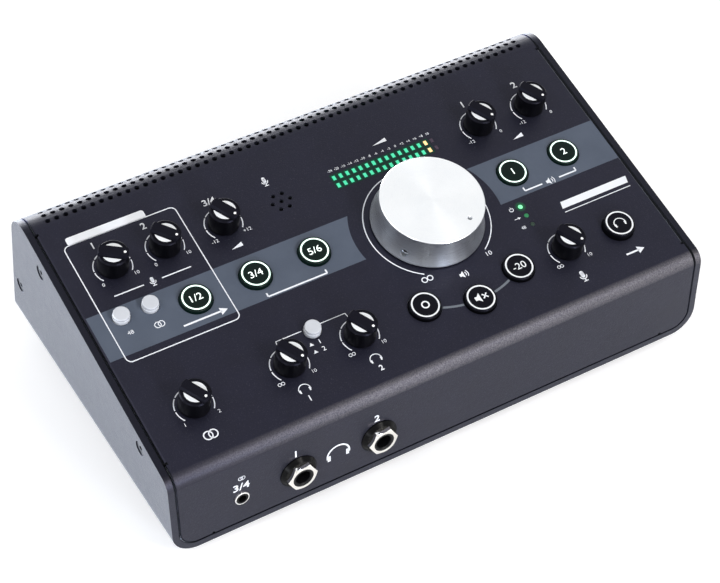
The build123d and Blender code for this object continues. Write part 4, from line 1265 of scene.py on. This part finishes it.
@dataclass
class LevelMeter:
    """Two rows of meter lamps with their tinted surround, glow painted on it, and the figures over
    them.
    """

    first_x: float = 2.95
    pitch: float = 3.206
    lit: int = 15
    rows: tuple[tuple[str, float], ...] = (("upper", 35.55), ("lower", 31.5))
    window: Point = (1.5, 2.3)
    tint_height: float = 4.0
    figure_y: float = 39.5
    figure_height: float = 1.15
    status_place: Point = (67.6, -10.4)
    status_radius: float = 1.2
    halo_radius: float = 2.5
    numbers: tuple[str, ...] = ("-24", "-20", "-16", "-14", "-12", "-10", "-8", "-6", "-4",
                                "-2", "0", "+2", "+4", "+6", "+8", "10")

    def build(self) -> None:
        """Dresses the lamps, prints their figures, and paints their glow on a tint round them."""
        dress(Finishes.GREEN, "meter_lights_green")
        dress(Finishes.AMBER, "meter_lights_amber")
        dress(Finishes.RED, "meter_lights_red")
        dress(Finishes.STATUS, "status_lights")
        art = Stencil()
        for index, number in enumerate(self.numbers):
            art.words(number, self.first_x + index * self.pitch, self.figure_y,
                      self.figure_height)
        art.wedge((29.6, 44.4), 7.0, 1.8)
        art.printed("print_meter", PANEL, Finishes.INK)
        for name, y in self.rows:
            self.add_surround(name, y)
        self.add_halo()

    def add_surround(self, name: str, y: float) -> None:
        """Prints the tint between the lamps of a row, with the lamps' glow painted on it."""
        art = Stencil()
        edge = art.mesh.verts.layers.float.new("edge")
        for index in range(self.lit):
            self.frame_lamp(art.mesh, edge, self.first_x + index * self.pitch, y)
        bmesh.ops.remove_doubles(art.mesh, verts=art.mesh.verts, dist=1e-4)
        art.printed(f"meter_painted_glow_{name}", PANEL, Finishes.WINDOW, TINT_THICKNESS)

    def frame_lamp(self, mesh: Shape, edge: Any, x: float, y: float) -> None:
        """Adds the tint of one lamp with its glow painted on: bright round its window and falling
        off to its outer edge.
        """
        loops = []
        for (width, height), rim in ((self.window, 0.0), ((self.pitch, self.tint_height), 1.0)):
            loop = [mesh.verts.new((x + sx * width / 2, y + sy * height / 2, 0))
                    for sx, sy in ((-1, -1), (1, -1), (1, 1), (-1, 1))]
            for vert in loop:
                vert[edge] = rim
            loops.append(loop)
        inner, outer = loops
        for i in range(4):
            j = (i + 1) % 4
            mesh.faces.new((inner[i], outer[i], outer[j], inner[j]))

    def add_halo(self) -> None:
        """Prints the glow painted round the upper status lamp."""
        art = Stencil()
        section = [(self.status_radius, 0.0, 0.0), (self.halo_radius, 0.0, 1.0)]
        lathe(art.mesh, section, 32, closed=False)
        bmesh.ops.translate(art.mesh, verts=art.mesh.verts, vec=(*self.status_place, 0))
        art.printed("status_halo", PANEL, Finishes.HALO, TINT_THICKNESS)


@dataclass
class Microphone:
    """The talkback capsule in its rubber boot."""

    def build(self) -> None:
        """Dresses the capsule and the boot."""
        dress(Finishes.CAPSULE, "microphone")
        dress(Finishes.RUBBER, "microphone_boot")


@dataclass
class Sockets:
    """Front and rear sockets with their nuts and washers, and the print beside them."""

    front_figures: tuple[Row, ...] = (
        ("1", -70.13, 28.6, 3.4, 0.02, 1.0), ("2", -33.39, 28.8, 3.4, 0.02, 1.0),
        ("3/4", -94.35, 23.8, 3.5, 0.016, 1.15))
    line_x: tuple[float, ...] = tuple(-38.5 + 15.0 * i for i in range(8))
    combination_x: tuple[float, ...] = (-89.5, -60.5)

    def build(self) -> None:
        """Dresses the sockets and prints their numbers."""
        dress(Finishes.MOULDED, "headphone_sockets", "line_sockets", "mini_socket",
              "combination_sockets", "power_socket")
        dress(Finishes.NICKEL, "socket_nuts", "data_socket")
        dress(Finishes.SATIN, "mini_socket_ring")
        dress(Finishes.BLACK_METAL, "socket_washers")
        art = Stencil()
        for row in self.front_figures:
            art.words(*row)
        art.twin_rings((-93.95, 28.4), 1.8)
        art.headphones((-51.2, 18.4), 10.0)
        art.printed("print_front", FRONT, Finishes.INK)
        rear = Stencil()
        for places, y, height in ((self.line_x, 41.0, 2.4), (self.combination_x, 49.0, 2.8)):
            for number, x in enumerate(places, 1):
                rear.words(str(number), -x, y, height, 0.01)
        rear.printed("print_back", BACK, Finishes.INK)


# --- Studio -----------------------------------------------------------------

@dataclass
class Softbox:
    """A large rectangular lamp that is aimed at the object."""

    name: str
    place: Triple
    width: float
    height: float
    power: float
    colour: str = "ffffff"

    def build(self, target: Vector) -> None:
        """Adds the lamp."""
        lamp = bpy.data.lights.new(self.name, "AREA")
        lamp.shape = "RECTANGLE"
        lamp.size, lamp.size_y = self.width, self.height
        lamp.energy = self.power
        lamp.color = linear(self.colour)[:3]
        holder = bpy.data.objects.new(self.name, lamp)
        holder.location = self.place
        holder.rotation_euler = (target - Vector(self.place)).to_track_quat("-Z", "Y").to_euler()
        bpy.context.scene.collection.objects.link(holder)


@dataclass
class Studio:
    """Pale floor, soft lamps and camera."""

    camera_place: Triple = (-0.3067, -0.5359, 0.6244)
    camera_target: Triple = (-0.00978, -0.02156, 0.045)
    camera_roll: float = -0.343
    camera_lens: float = 100.69
    lamp_target: Triple = (0.0, 0.0, 0.04)
    sky: float = 0.36
    floor_colour: str = "f0f0f0"
    floor_shade: str = "f6f6f6"
    floor_lift: float = 0.32
    floor_size: float = 12.0
    lamps: list[Softbox] = field(default_factory=lambda: [
        Softbox("overhead_box", (-0.6, 0.05, 0.85), 0.6, 0.5, 2.6),
        Softbox("floor_box", (-1.15, 0.62, 0.07), 0.7, 0.13, 32.0, "f2f7ff"),
        Softbox("left_box", (-1.08, -0.78, 0.45), 0.25, 0.5, 3.0, "f2f7ff"),
        Softbox("front_box", (0.45, -1.12, 0.87), 0.45, 0.28, 11.0, "fffbf7"),
        Softbox("back_box", (0.5, 1.4, 0.23), 1.4, 0.4, 20.0),
        Softbox("streak_box", (0.1, -1.35, 0.3), 0.16, 0.4, 8.0, "e6efff"),
    ])

    def build(self) -> None:
        """Sets up the floor, the surroundings, the lamps and the camera."""
        self.add_floor()
        self.light_surroundings()
        for lamp in self.lamps:
            lamp.build(Vector(self.lamp_target))
        self.add_camera()
        bpy.context.scene.view_settings.view_transform = "Standard"

    def add_floor(self) -> None:
        """Adds the floor, which stays white round the object and takes its shadow."""
        mesh = bmesh.new()
        bmesh.ops.create_grid(mesh, x_segments=1, y_segments=1, size=self.floor_size / 2)
        tree = ShaderTree("floor_white")
        paper = tree.mix(tree.noise(300.0, 2.0), self.floor_colour, self.floor_shade)
        tree.set(Base_Color=paper, Roughness=0.9, Specular_IOR_Level=0.0,
                 Emission_Color="ffffff",
                 Emission_Strength=tree.math("MULTIPLY", tree.seen(), self.floor_lift))
        add_object(mesh, "floor", tree.material)

    def light_surroundings(self) -> None:
        """Makes the surroundings white to the eye and dimmer as a light."""
        world = bpy.data.worlds.new("surroundings")
        bpy.context.scene.world = world
        world.use_nodes = True
        world.node_tree.nodes.clear()
        tree = NodeTree(world.node_tree)
        background = tree.add("ShaderNodeBackground", {
            "Color": "ffffff", "Strength": tree.spread(tree.seen(), self.sky, 1.0)})
        tree.add("ShaderNodeOutputWorld", {"Surface": background.outputs[0]})

    def add_camera(self) -> None:
        """Adds the camera."""
        lens = bpy.data.cameras.new("camera")
        lens.lens = self.camera_lens
        lens.sensor_fit = "HORIZONTAL"
        lens.sensor_width = 36.0
        lens.clip_start = 0.05
        camera = bpy.data.objects.new("camera", lens)
        aim = Vector(self.camera_target) - Vector(self.camera_place)
        roll = Matrix.Rotation(radians(self.camera_roll), 3, "Z")
        camera.location = self.camera_place
        camera.rotation_euler = (aim.to_track_quat("-Z", "Y").to_matrix() @ roll).to_euler()
        bpy.context.scene.collection.objects.link(camera)
        bpy.context.scene.camera = camera


def main() -> None:
    """Builds every sub-assembly in order."""
    logging.basicConfig(level=logging.INFO, format="%(message)s")
    controls = Controls()
    Case().build()
    Electronics().build()
    controls.build()
    Band().build(controls)
    PanelPrint().build(controls)
    LevelMeter().build()
    Microphone().build()
    Sockets().build()
    Studio().build()


if __name__ == "__main__":
    main()
